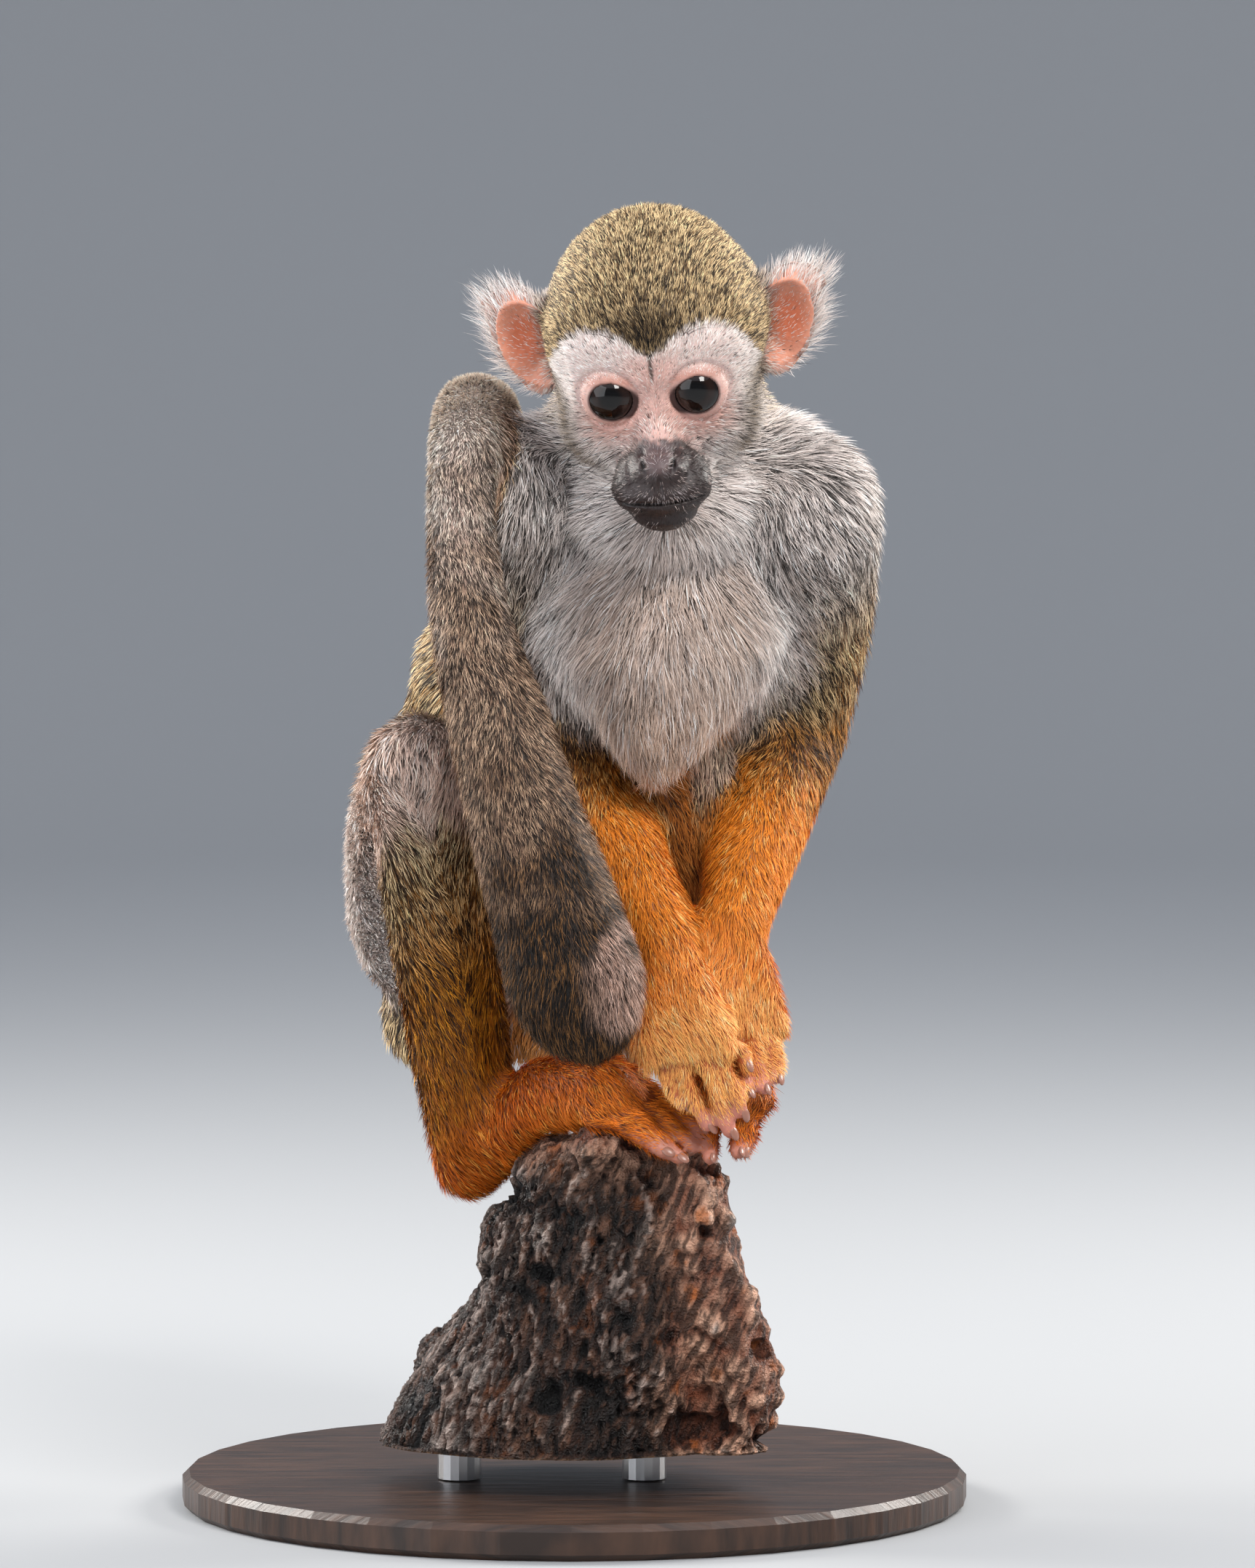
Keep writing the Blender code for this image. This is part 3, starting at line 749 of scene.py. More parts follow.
    def ear(self, on):
        head = self.near_head[on]
        right, left = (ear_place(head, side)[0] for side in SIDES)
        reach = np.where(head[:, 0] < 0, right, left)
        inner = ramp(0.1, 0.5, -(self.normals[on] @ HEAD_TURN)[:, 1]) * ramp(1.2, 1.0, reach)
        skin = layered(
            rgb(240, 200, 186),
            (EAR_PINK, ramp(1.05, 0.7, reach) * inner),
            (rgb(226, 122, 82), ramp(0.6, 0.25, reach) * inner),
        )
        return WHITE, WHITE, 0.1, 0.85 * inner, skin

    def neck(self, on):
        x, y, _ = self.near_head[on].T
        back = ramp(14, 40, y)
        under = ramp(12, 4, np.abs(x)) * ramp(10, 0, y)
        # PALE * 0.8 under the chin is a painted shadow of the chin on the throat.
        main = layered(WHITE * 0.92, (PALE * 0.8, under), (GREY * 0.9, back), (OLIVE, ramp(32, 48, y)))
        return main, layered(WHITE, (GOLD, back)), 0.3 + 0.5 * back, 0, main * 0.4

    def chest(self, on):
        points = self.points[on]
        low, high = box_of("chest")
        across = np.abs(points[:, 0] - (low[0] + high[0]) / 2 - 1) / (high[0] - low[0]) * 2
        depth = (points[:, 1] - low[1]) / (high[1] - low[1])
        drop = (high[2] - points[:, 2]) / (high[2] - low[2])
        front = ramp(0.5, 0.28, depth - 0.25 * ramp(0.35, 0.1, drop))
        side = ramp(0.3, 0.62, across + 0.25 * ramp(0.5, 0.2, drop))
        warm = ramp(0.6, 1.0, drop) * ramp(0.5, 0.1, across) * 0.8
        under = ramp(-0.15, -0.6, self.normals[on][:, 2]) * ramp(0.1, 0.3, depth) * ramp(0.35, 0.2, across)
        main = layered(PALE * 0.92, (WHITE * 0.98, side), (rgb(214, 178, 150), warm))
        main = layered(OLIVE, (main, front), (rgb(206, 136, 66), under))
        fleck = ((0.2 + 0.32 * side) * front + 1.0 * (1 - front)) * (1 - 0.8 * under)
        return main, layered(GOLD, (WHITE, front)), fleck, 0, main * 0.35

    def abdomen(self, on):
        points, normals = self.points[on], self.normals[on]
        low, high = box_of("abdomen")
        rise = (points[:, 2] - low[2]) / (high[2] - low[2])
        flank = np.minimum(points[:, 0] - low[0], high[0] - points[:, 0])
        hip = ramp(28, 16, flank) * ramp(0.6, 0.45, rise) * ramp(0.2, 0.35, rise)
        hip *= 0.85 * ramp(0.3, -0.4, normals[:, 1])
        belly = ramp(0.0, 0.4, -normals[:, 1]) * ramp(0.95, 0.6, normals[:, 2])
        belly *= ramp(14, 26, points[:, 0] - low[0])
        main = layered(
            rgb(164, 124, 74),
            (rgb(120, 92, 64), ramp(0.35, 0.1, rise)),
            (rgb(240, 226, 218), hip),
            (rgb(206, 140, 74), belly),
        )
        fleck = 1.0 - 0.9 * belly - 0.65 * hip * (1 - belly)
        return main, layered(GOLD, (PALE, np.maximum(belly, hip))), fleck, 0, main * 0.35

    def upper_arm(self, on):
        along = self.along[on]
        outer = ramp(0.2, 0.8, np.abs(self.normals[on][:, 0]))
        main = layered(
            GREY * 1.15,
            (rgb(150, 134, 120), ramp(0.2, 0.6, along)),
            (OLIVE * 0.95, ramp(0.5, 0.75, along)),
            (rgb(100, 62, 28), ramp(0.75, 1.0, along)),
            (rgb(206, 130, 50), outer * ramp(0.4, 0.9, along) * 0.8),
        )
        second = layered(WHITE, (GOLD, ramp(0.35, 0.7, along)), (rgb(184, 128, 64), ramp(0.7, 1.0, along)))
        return main, second, 0.72 + 0.28 * ramp(0.2, 0.6, along), 0, main * 0.42

    def forearm(self, on):
        along = self.along[on]
        main = layered(rgb(116, 70, 28), (ORANGE, ramp(1.08, 1.4, along)), (DEEP, ramp(1.7, 2.1, along)))
        second = layered(rgb(184, 128, 64), (rgb(250, 190, 110), ramp(1.1, 1.4, along)))
        return main, second, 0.9 * ramp(1.5, 1.15, along) + 0.02, 0, main * 0.55

    def hand(self, on):
        along = self.along[on]
        main = layered(DEEP, (rgb(255, 176, 98), ramp(2.2, 2.8, along)))
        skin = layered(rgb(190, 98, 44), (rgb(214, 136, 116), ramp(3.55, 3.85, along)))
        return main, rgb(255, 216, 150), 0.03, 0.75 * ramp(3.72, 3.95, along), skin

    def thigh(self, on):
        along, normals = self.along[on], self.normals[on]
        top = ramp(0.2, 0.7, normals[:, 2]) * ramp(0.85, 0.6, along)
        top = np.maximum(top, 0.85 * ramp(0, 12, self.points[on][:, 0]))
        top = np.maximum(top, 0.9 * ramp(0.1, 0.6, normals[:, 1]))
        warm = self.inner_left(on)
        main = layered(
            rgb(250, 234, 226),
            (rgb(226, 196, 178), ramp(0.5, 0.95, along)),
            (OLIVE * 1.1, top),
            (rgb(176, 108, 44), warm),
        )
        fleck = (0.22 + 0.6 * top) * (1 - 0.9 * warm)
        return main, layered(WHITE, (GOLD, top)), fleck, 0, main * 0.45

    def inner_left(self, on):
        """The golden inner side of the left leg."""
        normals = self.normals[on]
        side = ramp(4, 12, self.points[on][:, 0]) * ramp(0.5, 0.1, normals[:, 0])
        return side * ramp(0.2, -0.3, normals[:, 1])

    def shin(self, on):
        along, warm = self.along[on], self.inner_left(on)
        main = layered(
            rgb(246, 216, 200),
            (rgb(136, 96, 48), ramp(1.02, 1.24, along)),
            (AMBER, ramp(1.2, 1.55, along)),
            (rgb(180, 98, 10), ramp(1.6, 2.05, along)),
            (rgb(176, 108, 44), warm),
        )
        second = layered(
            PALE,
            (GOLD, ramp(1.02, 1.2, along)),
            (rgb(210, 136, 30), ramp(1.25, 1.6, along)),
            (rgb(206, 140, 70), warm),
        )
        fleck = ramp(2.0, 1.4, along) * (0.3 + 0.7 * ramp(1.05, 1.25, along)) * (1 - 0.9 * warm)
        return main, second, fleck, 0, main * 0.4

    def foot(self, on):
        along = self.along[on]
        main = layered(rgb(198, 92, 0), (rgb(222, 120, 30), ramp(2.3, 2.9, along)))
        skin = layered(rgb(150, 78, 36), (rgb(196, 126, 104), ramp(3.5, 3.85, along)))
        return main, rgb(244, 160, 66), 0.07, 0.6 * ramp(3.75, 3.95, along), skin

    def tail(self, on):
        along, normals = self.along[on], self.normals[on]
        where = along + 0.35 * waver(self.points[on], 0.12)
        core = np.clip(-normals[:, 1], 0, 1) ** 3 * ramp(2.4, 3.2, along) * ramp(5.0, 4.3, along)
        start = ramp(14, 36, self.points[on][:, 1])
        end = ramp(4.4, 5.4, where)
        inside = ramp(0.0, 0.6, normals[:, 0]) * ramp(5.3, 5.5, where) * ramp(6.0, 5.8, where)
        main = layered(
            rgb(255, 236, 222),
            (rgb(204, 166, 146), core * 0.8),
            (OLIVE * 1.15, start),
            (rgb(152, 120, 98), ramp(3.8, 4.4, where)),
            (UMBER, end * 0.9),
            (BLACK, ramp(4.9, 5.4, where) * 0.92),
            (BLACK, ramp(5.55, 5.85, where) * 0.6),
            (rgb(176, 140, 122), inside),
        )
        second = layered(
            rgb(255, 236, 220),
            (rgb(214, 180, 150), ramp(3.6, 4.4, where)),
            (GOLD, start),
            (rgb(126, 86, 46), end),
            (rgb(214, 180, 164), inside),
        )
        return main, second, 0.26 + 0.69 * ramp(2.9, 4.4, where) - 0.35 * end + 0.6 * start, 0, main * 0.35


# ---------------- coat


def coat_lengths(points, normals, shares, along):
    """The length (mm) of the hair at places, and how thickly it grows against its group's density."""
    head = to_head(points)
    x, y, z = head.T
    side = np.abs(x)
    length = by_group(shares, "length")
    thick = np.ones(len(points))
    on_head = share_of(shares, "head")
    face = ramp(16, 5, y) * on_head * ramp(1.5, -1.5, z - cap_edge(side))
    cheek = ramp(-2, -13, z) * ramp(8, 17, side)
    length = length * (1 - face) + face * (1.6 + 3.4 * cheek)
    length += on_head * (1 - face) * 4.5 * ramp(-2, -14, z) * ramp(2, 14, y)
    length += on_head * 2.0 * ramp(22, 50, y)
    opening = out_of_lids(head)
    thick *= np.where(face > 0.3, ramp(1.05, 1.3, opening), 1)
    length *= 1 - 0.55 * face * ramp(2.2, 1.2, opening)
    ear = share_of(shares, "ear")
    for name, sign in SIDES.items():
        away = unit(points - middle(f"ear_{name}"))
        rim = ramp(0.0, 0.5, (normals * away).sum(axis=1))
        away = away @ HEAD_TURN
        mine = ear * (sign * x > 0) * rim
        fringe = ramp(-0.6, 0.1, sign * away[:, 0] + 0.3 * away[:, 2])
        length += mine * (0.8 + fringe * (6.2 - 3.0 * ramp(0.7, 1.0, away[:, 2])))
        thick *= 1 + mine * (0.4 + 1.4 * fringe)
    length += share_of(shares, "neck") * 2.0 * ramp(12, -6, y) * ramp(4, 16, side)
    tip = share_of(shares, "finger", "toe") * ramp(3.55, 3.9, along)
    length *= 1 - 0.5 * tip
    thick *= 1 - 0.9 * ramp(0.7, 1.0, tip)
    tail = share_of(shares, "tail")
    length += tail * (0.6 * ramp(2.5, 4.5, along) + 1.4 * ramp(5.2, 5.9, along))
    return length, thick


def grow(skin, atlas):
    """Roots over the whole skin, with all that a tuft needs to know."""
    mesh = skin.data
    points, normals = corners_of(mesh), normals_of(mesh)
    edges = edges_of(mesh)
    shares, along, way = atlas.read(points, near=8)
    shares = relaxed(shares, edges, 4)
    along = relaxed(along[:, None], edges, 3)[:, 0]
    way = unit(relaxed(way, edges, 8))
    marks = Markings(points, normals, shares, along)
    paint(mesh, marks.skin)
    length, thick = coat_lengths(points, normals, shares, along)
    density = by_group(shares, "density") * thick * (1 - BARE_LOSS * marks.bare)
    density *= BACK_COAT + FRONT_COAT * ramp(0.35, -0.2, normals[:, 1])
    triangles, loops = triangles_of(mesh)
    rng = np.random.default_rng(11)
    scale = bpy.context.scene.monkey_coat.thickness * 1.0
    index, weights = sampled(points, triangles, density[triangles].mean(axis=1) * scale, rng)
    corner = triangles[index]

    def at(values):
        return np.einsum("nk,nk...->n...", weights, values[corner])

    uv = read(mesh.uv_layers[BAKE_MAP].data, "uv", 2).astype(float)[loops[index]]
    place, normal = at(points), unit(at(normals))
    here, run = at(shares), at(along)
    roots = {
        "place": place,
        "normal": normal,
        "way": at(way),
        "shares": here,
        "along": run,
        "length": at(length),
        "uv": np.einsum("nk,nkc->nc", weights, uv),
        "marks": Markings(place, normal, here, run),
        "rng": rng,
    }
    keep = ~((out_of_lids(to_head(place)) < 1.1) & (share_of(here, "head") > 0.5))
    return roots, keep


def comb(roots):
    """The way each tuft leans: the lie of the coat in the skin's plane, a little astray."""
    rng, normal = roots["rng"], roots["normal"]
    way = unit(roots["way"] - along_normal(roots["way"], normal))
    side = np.cross(normal, way)
    stray = 0.55 * waver(roots["place"], 0.09) + rng.normal(0, 0.16, len(way))
    return unit(way + side * stray[:, None])


def clump_pull(roots):
    """How far each tuft's tip is drawn to its nearest leader's, along the skin."""
    rng, place = roots["rng"], roots["place"]
    leaders = np.flatnonzero(rng.random(len(place)) < LEADERS)
    tree = kdtree.KDTree(len(leaders))
    for i, leader in enumerate(leaders):
        tree.insert(place[leader], i)
    tree.balance()
    nearest = np.array([tree.find(p)[1] for p in place.tolist()])
    pull = place[leaders[nearest]] - place
    far = np.linalg.norm(pull, axis=1)
    pull[far > CLUMP_REACH] = 0
    return pull - along_normal(pull, roots["normal"]), leaders[nearest]


def tuft_colours(roots, leader, rows):
    """The colour of each tuft at each of its rows, root to tip."""
    rng, marks = roots["rng"], roots["marks"]
    count = len(roots["place"])
    own = rng.random(count)
    u = np.where(rng.random(count) < 0.35, own[leader], own)
    shade = np.exp(rng.normal(0, 0.15, count) + 0.3 * (rng.random(count)[leader] - 0.5))
    fleck = marks.fleck
    dark = (u < DARK_TUFTS * fleck)[:, None]
    light = (u > 1 - PALE_TUFTS * fleck - 0.08)[:, None]
    body = np.where(dark, marks.main * 0.1, np.where(light, marks.second, marks.main))
    body = body * shade[:, None]
    tip = np.where((rng.random(count) < DARK_TIPS * fleck)[:, None], marks.main * 0.25, body * 1.15)
    colours = []
    for t in rows:
        # Each tuft darkens towards its root, more in a flecked coat: painted shade where the hairs crowd at
        # the skin.
        root = 1 - ramp(0.0, 0.45, np.array([t]))[0]
        end = ramp(0.7, 1.0, np.array([t]))[0]
        base = body * (1 - root * (0.3 + 0.3 * fleck))[:, None]
        colours.append(base * (1 - end) + tip * end)
    return np.clip(np.stack(colours, axis=1), 0, 1)


def tufts(name, roots, way, pull, colours, chosen, rows):
    """One mesh of curved, tapering blades on the chosen roots."""
    rng = np.random.default_rng(len(chosen))
    place, normal, way, pull = (a[chosen] for a in (roots["place"], roots["normal"], way, pull))
    shares = roots["shares"][chosen]
    count = len(chosen)
    length = roots["length"][chosen] * rng.uniform(0.72, 1.18, count)
    lift = np.radians(by_group(shares, "lift") + rng.normal(0, 6, count))
    width = by_group(shares, "width") * rng.uniform(0.75, 1.25, count)
    side = np.cross(normal, way)
    roll = rng.normal(0, 0.5, count)
    across = side * np.cos(roll)[:, None] + normal * np.sin(roll)[:, None]
    clump = 0.55 * np.clip(length / 6, 0, 1)
    wave = rng.normal(0, 0.07, count) * length
    points = []
    for t in rows:
        rise = length * np.sin(lift) * t * (1 - 0.35 * t)
        run = length * np.cos(lift) * t
        middle_line = (
            place
            + way * run[:, None]
            + normal * (rise - 0.15)[:, None]
            + pull * (clump * t * t)[:, None]
            + side * (wave * t * t)[:, None]
        )
        half = width * 0.5 * (1 - t) ** 0.6
        if t < 1:
            points += [middle_line - across * half[:, None], middle_line + across * half[:, None]]
        else:
            points.append(middle_line)
    points = np.stack(points, axis=1)
    steps = len(rows) - 1
    pattern = []
    for k in range(steps - 1):
        a = 2 * k
        pattern += [(a, a + 3, a + 1), (a, a + 2, a + 3)]
    pattern.append((2 * steps - 2, 2 * steps, 2 * steps - 1))
    size = points.shape[1]
    faces = (np.arange(count)[:, None, None] * size + np.array(pattern)[None]).reshape(-1, 3)
    row_of = [k // 2 for k in range(size - 1)] + [steps]
    colour = colours[chosen][:, row_of].reshape(-1, 3)
    made = make_mesh(name, points.reshape(-1, 3), faces, colour)
    patch = np.array([((k % 2) * 2 - 1, rows[k // 2] * 2 - 1) for k in range(size - 1)] + [(0, 1)])
    uv = (roots["uv"][chosen][:, None] + patch[None] * (PATCH / 2)).reshape(-1, 2)
    layer = made.data.uv_layers.new(name=BAKE_MAP)
    layer.data.foreach_set("uv", uv[faces.ravel()].astype(np.float32).ravel())
    own = unit(np.cross(points[:, 2] - points[:, 0], points[:, 1] - points[:, 0]))
    soft = unit(own * 0.45 + normal * 0.75)
    made.data.normals_split_custom_set_from_vertices(np.repeat(soft, size, axis=0).tolist())
    return made


PIECES = {
    "crown": lambda s, h: (share_of(s, "head") > 0.5) & (h[:, 2] > 2),
    "face": lambda s, h: share_of(s, "head", "muzzle", "ear") > 0.5,
    "ruff": lambda s, h: share_of(s, "neck") > 0.5,
    "chest": lambda s, h: share_of(s, "chest") > 0.5,
    "back": lambda s, h: share_of(s, "abdomen") > 0.5,
    "arms": lambda s, h: share_of(s, "upper_arm", "forearm", "hand", "finger") > 0.5,
    "legs": lambda s, h: share_of(s, "thigh", "shin", "foot", "toe") > 0.5,
    "tail": lambda s, h: share_of(s, "tail") > 0.5,
}


def make_coat(skin, atlas):
    """The whole coat, in pieces by part of the body and by length."""
    roots, keep = grow(skin, atlas)
    way = comb(roots)
    pull, leader = clump_pull(roots)
    head = to_head(roots["place"])
    left = keep.copy()
    made = []
    for rows, suits in ((SHORT, roots["length"] < LONG_FROM), (LONG, roots["length"] >= LONG_FROM)):
        colours = tuft_colours(roots, leader, rows)
        for name, test in PIECES.items():
            chosen = np.flatnonzero(left & suits & test(roots["shares"], head))
            left[chosen] = False
            each = 2 * len(rows) - 3
            parts = max(1, math.ceil(len(chosen) * each / MOST_TRIANGLES))
            for k, part in enumerate(np.array_split(chosen, parts)):
                if len(part):
                    tag = "short" if rows is SHORT else "long"
                    made.append(tufts(f"coat_{name}_{tag}_{k + 1}", roots, way, pull, colours, part, rows))
        rest = np.flatnonzero(left & suits)
        left[rest] = False
        if len(rest):
            made.append(tufts(f"coat_rest_{len(rows)}", roots, way, pull, colours, rest, rows))
    return made


# ---------------- materials


def node_material(name):
    made = bpy.data.materials.new(name)
    made.use_nodes = True
    return made, made.node_tree, made.node_tree.nodes["Principled BSDF"]


def painted(name, roughness):
    """A material in the colours painted on its mesh; it, its nodes, its shader and those colours."""
    made, tree, shader = node_material(name)
    node = tree.nodes.new("ShaderNodeVertexColor")
    node.layer_name = COLOUR
    tree.links.new(node.outputs["Color"], shader.inputs["Base Color"])
    shader.inputs["Roughness"].default_value = roughness
    return made, tree, shader, node.outputs["Color"]


def darken(tree, shader, colour, by, share):
    """Multiplies the shader's colour by a pattern."""
    mix = tree.nodes.new("ShaderNodeMix")
    mix.data_type, mix.blend_type = "RGBA", "MULTIPLY"
    mix.inputs["Factor"].default_value = share
    tree.links.new(colour, mix.inputs["A"])
    tree.links.new(by, mix.inputs["B"])
    tree.links.new(mix.outputs["Result"], shader.inputs["Base Color"])


def colour_ramp(tree, pattern, ends, colours):
    """Colours between two, by a pattern between two ends."""
    made = tree.nodes.new("ShaderNodeValToRGB")
    for element, end, colour in zip(made.color_ramp.elements, ends, colours):
        element.position, element.color = end, (*colour, 1)
    tree.links.new(pattern, made.inputs["Fac"])
    return made.outputs["Color"]


def noise_node(tree, scale, detail=4, stretch=(1, 1, 1), lean=0.0):
    """Fine noise by place on the object, drawn out by stretch along axes that lean to +X."""
    place = tree.nodes.new("ShaderNodeTexCoord")
    mapping = tree.nodes.new("ShaderNodeMapping")
    mapping.vector_type = "TEXTURE"
    mapping.inputs["Scale"].default_value = stretch
    mapping.inputs["Rotation"].default_value[1] = lean
    made = tree.nodes.new("ShaderNodeTexNoise")
    made.inputs["Scale"].default_value = scale
    made.inputs["Detail"].default_value = detail
    tree.links.new(place.outputs["Object"], mapping.inputs["Vector"])
    tree.links.new(mapping.outputs["Vector"], made.inputs["Vector"])
    return made


def add_bump(tree, shader, height, distance):
    bump = tree.nodes.new("ShaderNodeBump")
    bump.inputs["Distance"].default_value = distance
    tree.links.new(height, bump.inputs["Height"])
    tree.links.new(bump.outputs["Normal"], shader.inputs["Normal"])


def coat_material():
    made, _, shader, _ = painted("coat", 0.62)
    shader.inputs["Specular IOR Level"].default_value = 0.25
    return made


def skin_material():
    made, tree, shader, colour = painted("skin", 0.5)
    mottle = noise_node(tree, 900)
    darken(tree, shader, colour, mottle.outputs["Fac"], 0.35)
    shader.inputs["Subsurface Weight"].default_value = 0.12
    shader.inputs["Subsurface Scale"].default_value = 0.002
    add_bump(tree, shader, mottle.outputs["Fac"], 0.0002)
    return made


# ---------------- eyes, nails and whiskers


def make_eye(side):
    """A wet, almost black eye with a dark brown ring round its pupil."""
    points, triangles = ball(1, 48, 32)
    points = points @ turning(90, "X").T
    bulge = ramp(0.78, 1.0, -points[:, 1])
    points = points * (EYE_RADIUS + 0.25 * bulge)[:, None]
    look = HEAD_TURN @ turning(-LOOK_UP, "X")
    off = np.degrees(np.arccos(np.clip(-points[:, 1] / np.linalg.norm(points, axis=1), -1, 1)))
    colour = layered(
        rgb(4, 3, 3),
        (rgb(30, 16, 10), ramp(20, 26, off)),
        (rgb(10, 6, 5), ramp(38, 44, off)),
        (rgb(60, 38, 30), ramp(62, 68, off)),
    )
    eye = make_mesh(f"eyeball_{side}", points @ look.T + centre(f"eye_{side}"), triangles, colour)
    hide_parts(f"eye_{side}")
    return eye


def eye_material():
    made, _, shader, _ = painted("eye", 0.05)
    shader.inputs["Specular IOR Level"].default_value = 0.4
    return made


def make_nails():
    """A small curved nail on each finger and toe."""
    perch_x, perch_y = centre("perch")[:2]
    cap, faces = ball(1, 12, 8)
    pieces = []
    for node in SOFT_NODES:
        if group_of(node) in ("finger", "toe"):
            line = digit_line(node)
            way = unit(line[-1] - line[-2])
            out = np.array((line[-1][0] - perch_x, line[-1][1] - perch_y, 8.0))
            out = unit(out - way * (out @ way))
            base = np.stack([np.cross(way, out) * 1.15, out * 0.5, way * 1.7])
            pieces.append((cap @ base + line[-1] + way * 0.9 + out * 1.25, faces))
    return make_mesh("nails", *joined(pieces), rgb(150, 104, 88))


def make_whiskers(skin):
    """Fine stiff hairs at the sides of the muzzle, a few over the eyes and under the chin."""
    rng = np.random.default_rng(23)
    beds = (
        (11, (5.5, 10.5), (-17.5, -11.0), (0.95, -0.35, -0.25), (13, 22)),
        (4, (7.0, 12.0), (12.0, 14.0), (0.5, -0.55, 0.75), (8, 13)),
        (4, (1.0, 6.0), (-27.0, -24.5), (0.45, -0.75, -0.7), (6, 10)),
    )
    pieces = []
    for number, across, heights, way, lengths in beds:
        for sign in [-1] * number + [1] * number:
            x, z = sign * rng.uniform(*across), rng.uniform(*heights)
            start, ahead = from_head((x, -40, z)) * MM, HEAD_TURN @ (0, 1, 0)
            hit, place, _, _ = skin.ray_cast(Vector(start), Vector(ahead))
            if hit:
                heading = unit(np.array((way[0] * sign, way[1], way[2])) + rng.normal(0, 0.16, 3))
                pieces.append(hair_tube(np.array(place) / MM, HEAD_TURN @ heading, rng.uniform(*lengths)))
    return make_mesh("whiskers", *joined(pieces), rgb(40, 30, 30))


def hair_tube(root, way, length, radius=0.075, steps=7):
    """A three-sided hair from root, tapering and drooping a little; corners and triangles."""
    side = unit(np.cross(way, (0.0, 0.0, 1.0)))
    up = np.cross(side, way)
    rings = []
    for k in range(steps):
        t = k / (steps - 1)
        middle_line = root + way * (length * t - 0.4) - np.array((0, 0, 1.0)) * 0.16 * length * t * t
        for turn in (0, 1, 2):
            angle = turn * 2 * math.pi / 3
            spoke = side * math.cos(angle) + up * math.sin(angle)
            rings.append(middle_line + spoke * radius * (1 - 0.85 * t))
    faces = []
    for k in range(steps - 1):
        for turn in range(3):
            a, b = 3 * k + turn, 3 * k + (turn + 1) % 3
            faces += [(a, b, b + 3), (a, b + 3, a + 3)]
    faces += [(2, 1, 0), (3 * steps - 3, 3 * steps - 2, 3 * steps - 1)]
    return np.array(rings), np.array(faces)


# ---------------- branch and stand


def fractal(points, scale, octaves=4, rough=1.0):
    """Noise of several sizes at each of the points, from about -1 to 1."""
    return np.array([noise.fractal(Vector(p) * scale, rough, 2.1, octaves) for p in points.tolist()])


def make_branch():
    """The gnarled branch end: fibres fan down it from its top, with a lumpy burl down its left."""
    corners, faces = SOLIDS["perch"]
    branch = make_mesh("branch", corners, faces)
    mesh = evened(branch, BRANCH_CELL)
    points, edges = corners_of(mesh), edges_of(mesh)
    low, high = box_of("perch")
    flat = points[:, 2] < low[2] + 0.8
    points = relaxed(points, edges, np.where(flat, 0, 9))
    put_corners(mesh, points)
    normals = normals_of(mesh)
    apex = np.array((low[0] * 0.42 + high[0] * 0.58, low[1] * 0.6 + high[1] * 0.4, high[2] + 28))
    drop = apex[2] - points[:, 2]
    fan = (points - apex) / drop[:, None] * 60
    warp = fractal(points, 0.07, 2)
    fibre = np.stack([fan[:, 0] + 2.5 * warp, fan[:, 1], drop * 0.12], axis=1)
    coarse, fine = fractal(fibre, 0.22, 3), fractal(fibre, 0.75, 3)
    ridge = 1 - 2 * np.abs(fine)
    lumps, grit = fractal(points, 0.13, 3), fractal(points, 0.5, 4)
    nodes = np.array([noise.voronoi(Vector(p) * 0.16)[0][0] for p in points.tolist()])
    knob = 1 - np.clip(nodes / 0.55, 0, 1) ** 1.6
    burl = ramp(-2, 9, points[:, 0] - apex[0] - 5 - 0.05 * drop + 5 * warp)
    top = ramp(16, 4, high[2] - points[:, 2] + 4 * warp)
    burl = np.maximum(burl, top)
    wood = 1.5 * coarse + 1.1 * ridge + 0.6 * grit
    lumpy = 1.9 * (knob - 0.45) + 0.9 * lumps + 0.55 * grit
    holes = ramp(0.34, 0.66, fractal(points + 31, 0.085, 3))
    height = (1 - burl) * wood + burl * lumpy - 2.6 * holes - 0.6
    height = np.clip(height, -4.0, 1.0)
    height[flat] = 0
    points += normals * height[:, None]
    put_corners(mesh, points)
    shade = ramp(-1.3, 0.9, height)
    streak = ramp(-0.2, 0.7, fractal(fibre + 7, 0.5, 3))
    ochre = ramp(0.42, 0.6, fractal(points + 57, 0.14, 3))
    colour = layered(
        rgb(15, 8, 5),
        (rgb(84, 50, 32), shade),
        (rgb(148, 106, 82), streak * shade * 0.65),
        # The burl goes pale pink towards the tops of its knobs: painted highlights.
        (layered(rgb(136, 78, 54), (rgb(255, 200, 168), ramp(-2.2, 0.6, height))), burl),
        # Near white on the highest points, more on the burl: painted highlights.
        (rgb(250, 232, 220), ramp(0.8, 1.0, shade) * (0.3 + 0.5 * burl)),
        (rgb(196, 104, 30), ochre * 0.75 * (0.25 + 0.75 * burl)),
        # The holes are near black inside, less on the burl: painted shade.
        (rgb(10, 7, 6), holes * (0.9 - 0.4 * burl)),
    )
    colour[flat & (normals[:, 2] < -0.7)] = rgb(150, 112, 76)
    paint(mesh, colour)
    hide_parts("perch")
    return branch


def branch_material():
    made, tree, shader, colour = painted("weathered_wood", 0.42)
    fine = noise_node(tree, 620, 8, (1, 1, 4.5), FIBRE_LEAN).outputs["Fac"]
    grit = noise_node(tree, 1600, 6).outputs["Fac"]
    grain = colour_ramp(tree, fine, (0.42, 0.6), ((0.1, 0.09, 0.08), (1, 1, 1)))
    darken(tree, shader, colour, grain, 0.9)
    add = tree.nodes.new("ShaderNodeMath")
    add.operation = "ADD"
    tree.links.new(fine, add.inputs[0])
    tree.links.new(grit, add.inputs[1])
    add_bump(tree, shader, add.outputs["Value"], 0.002)
    return made


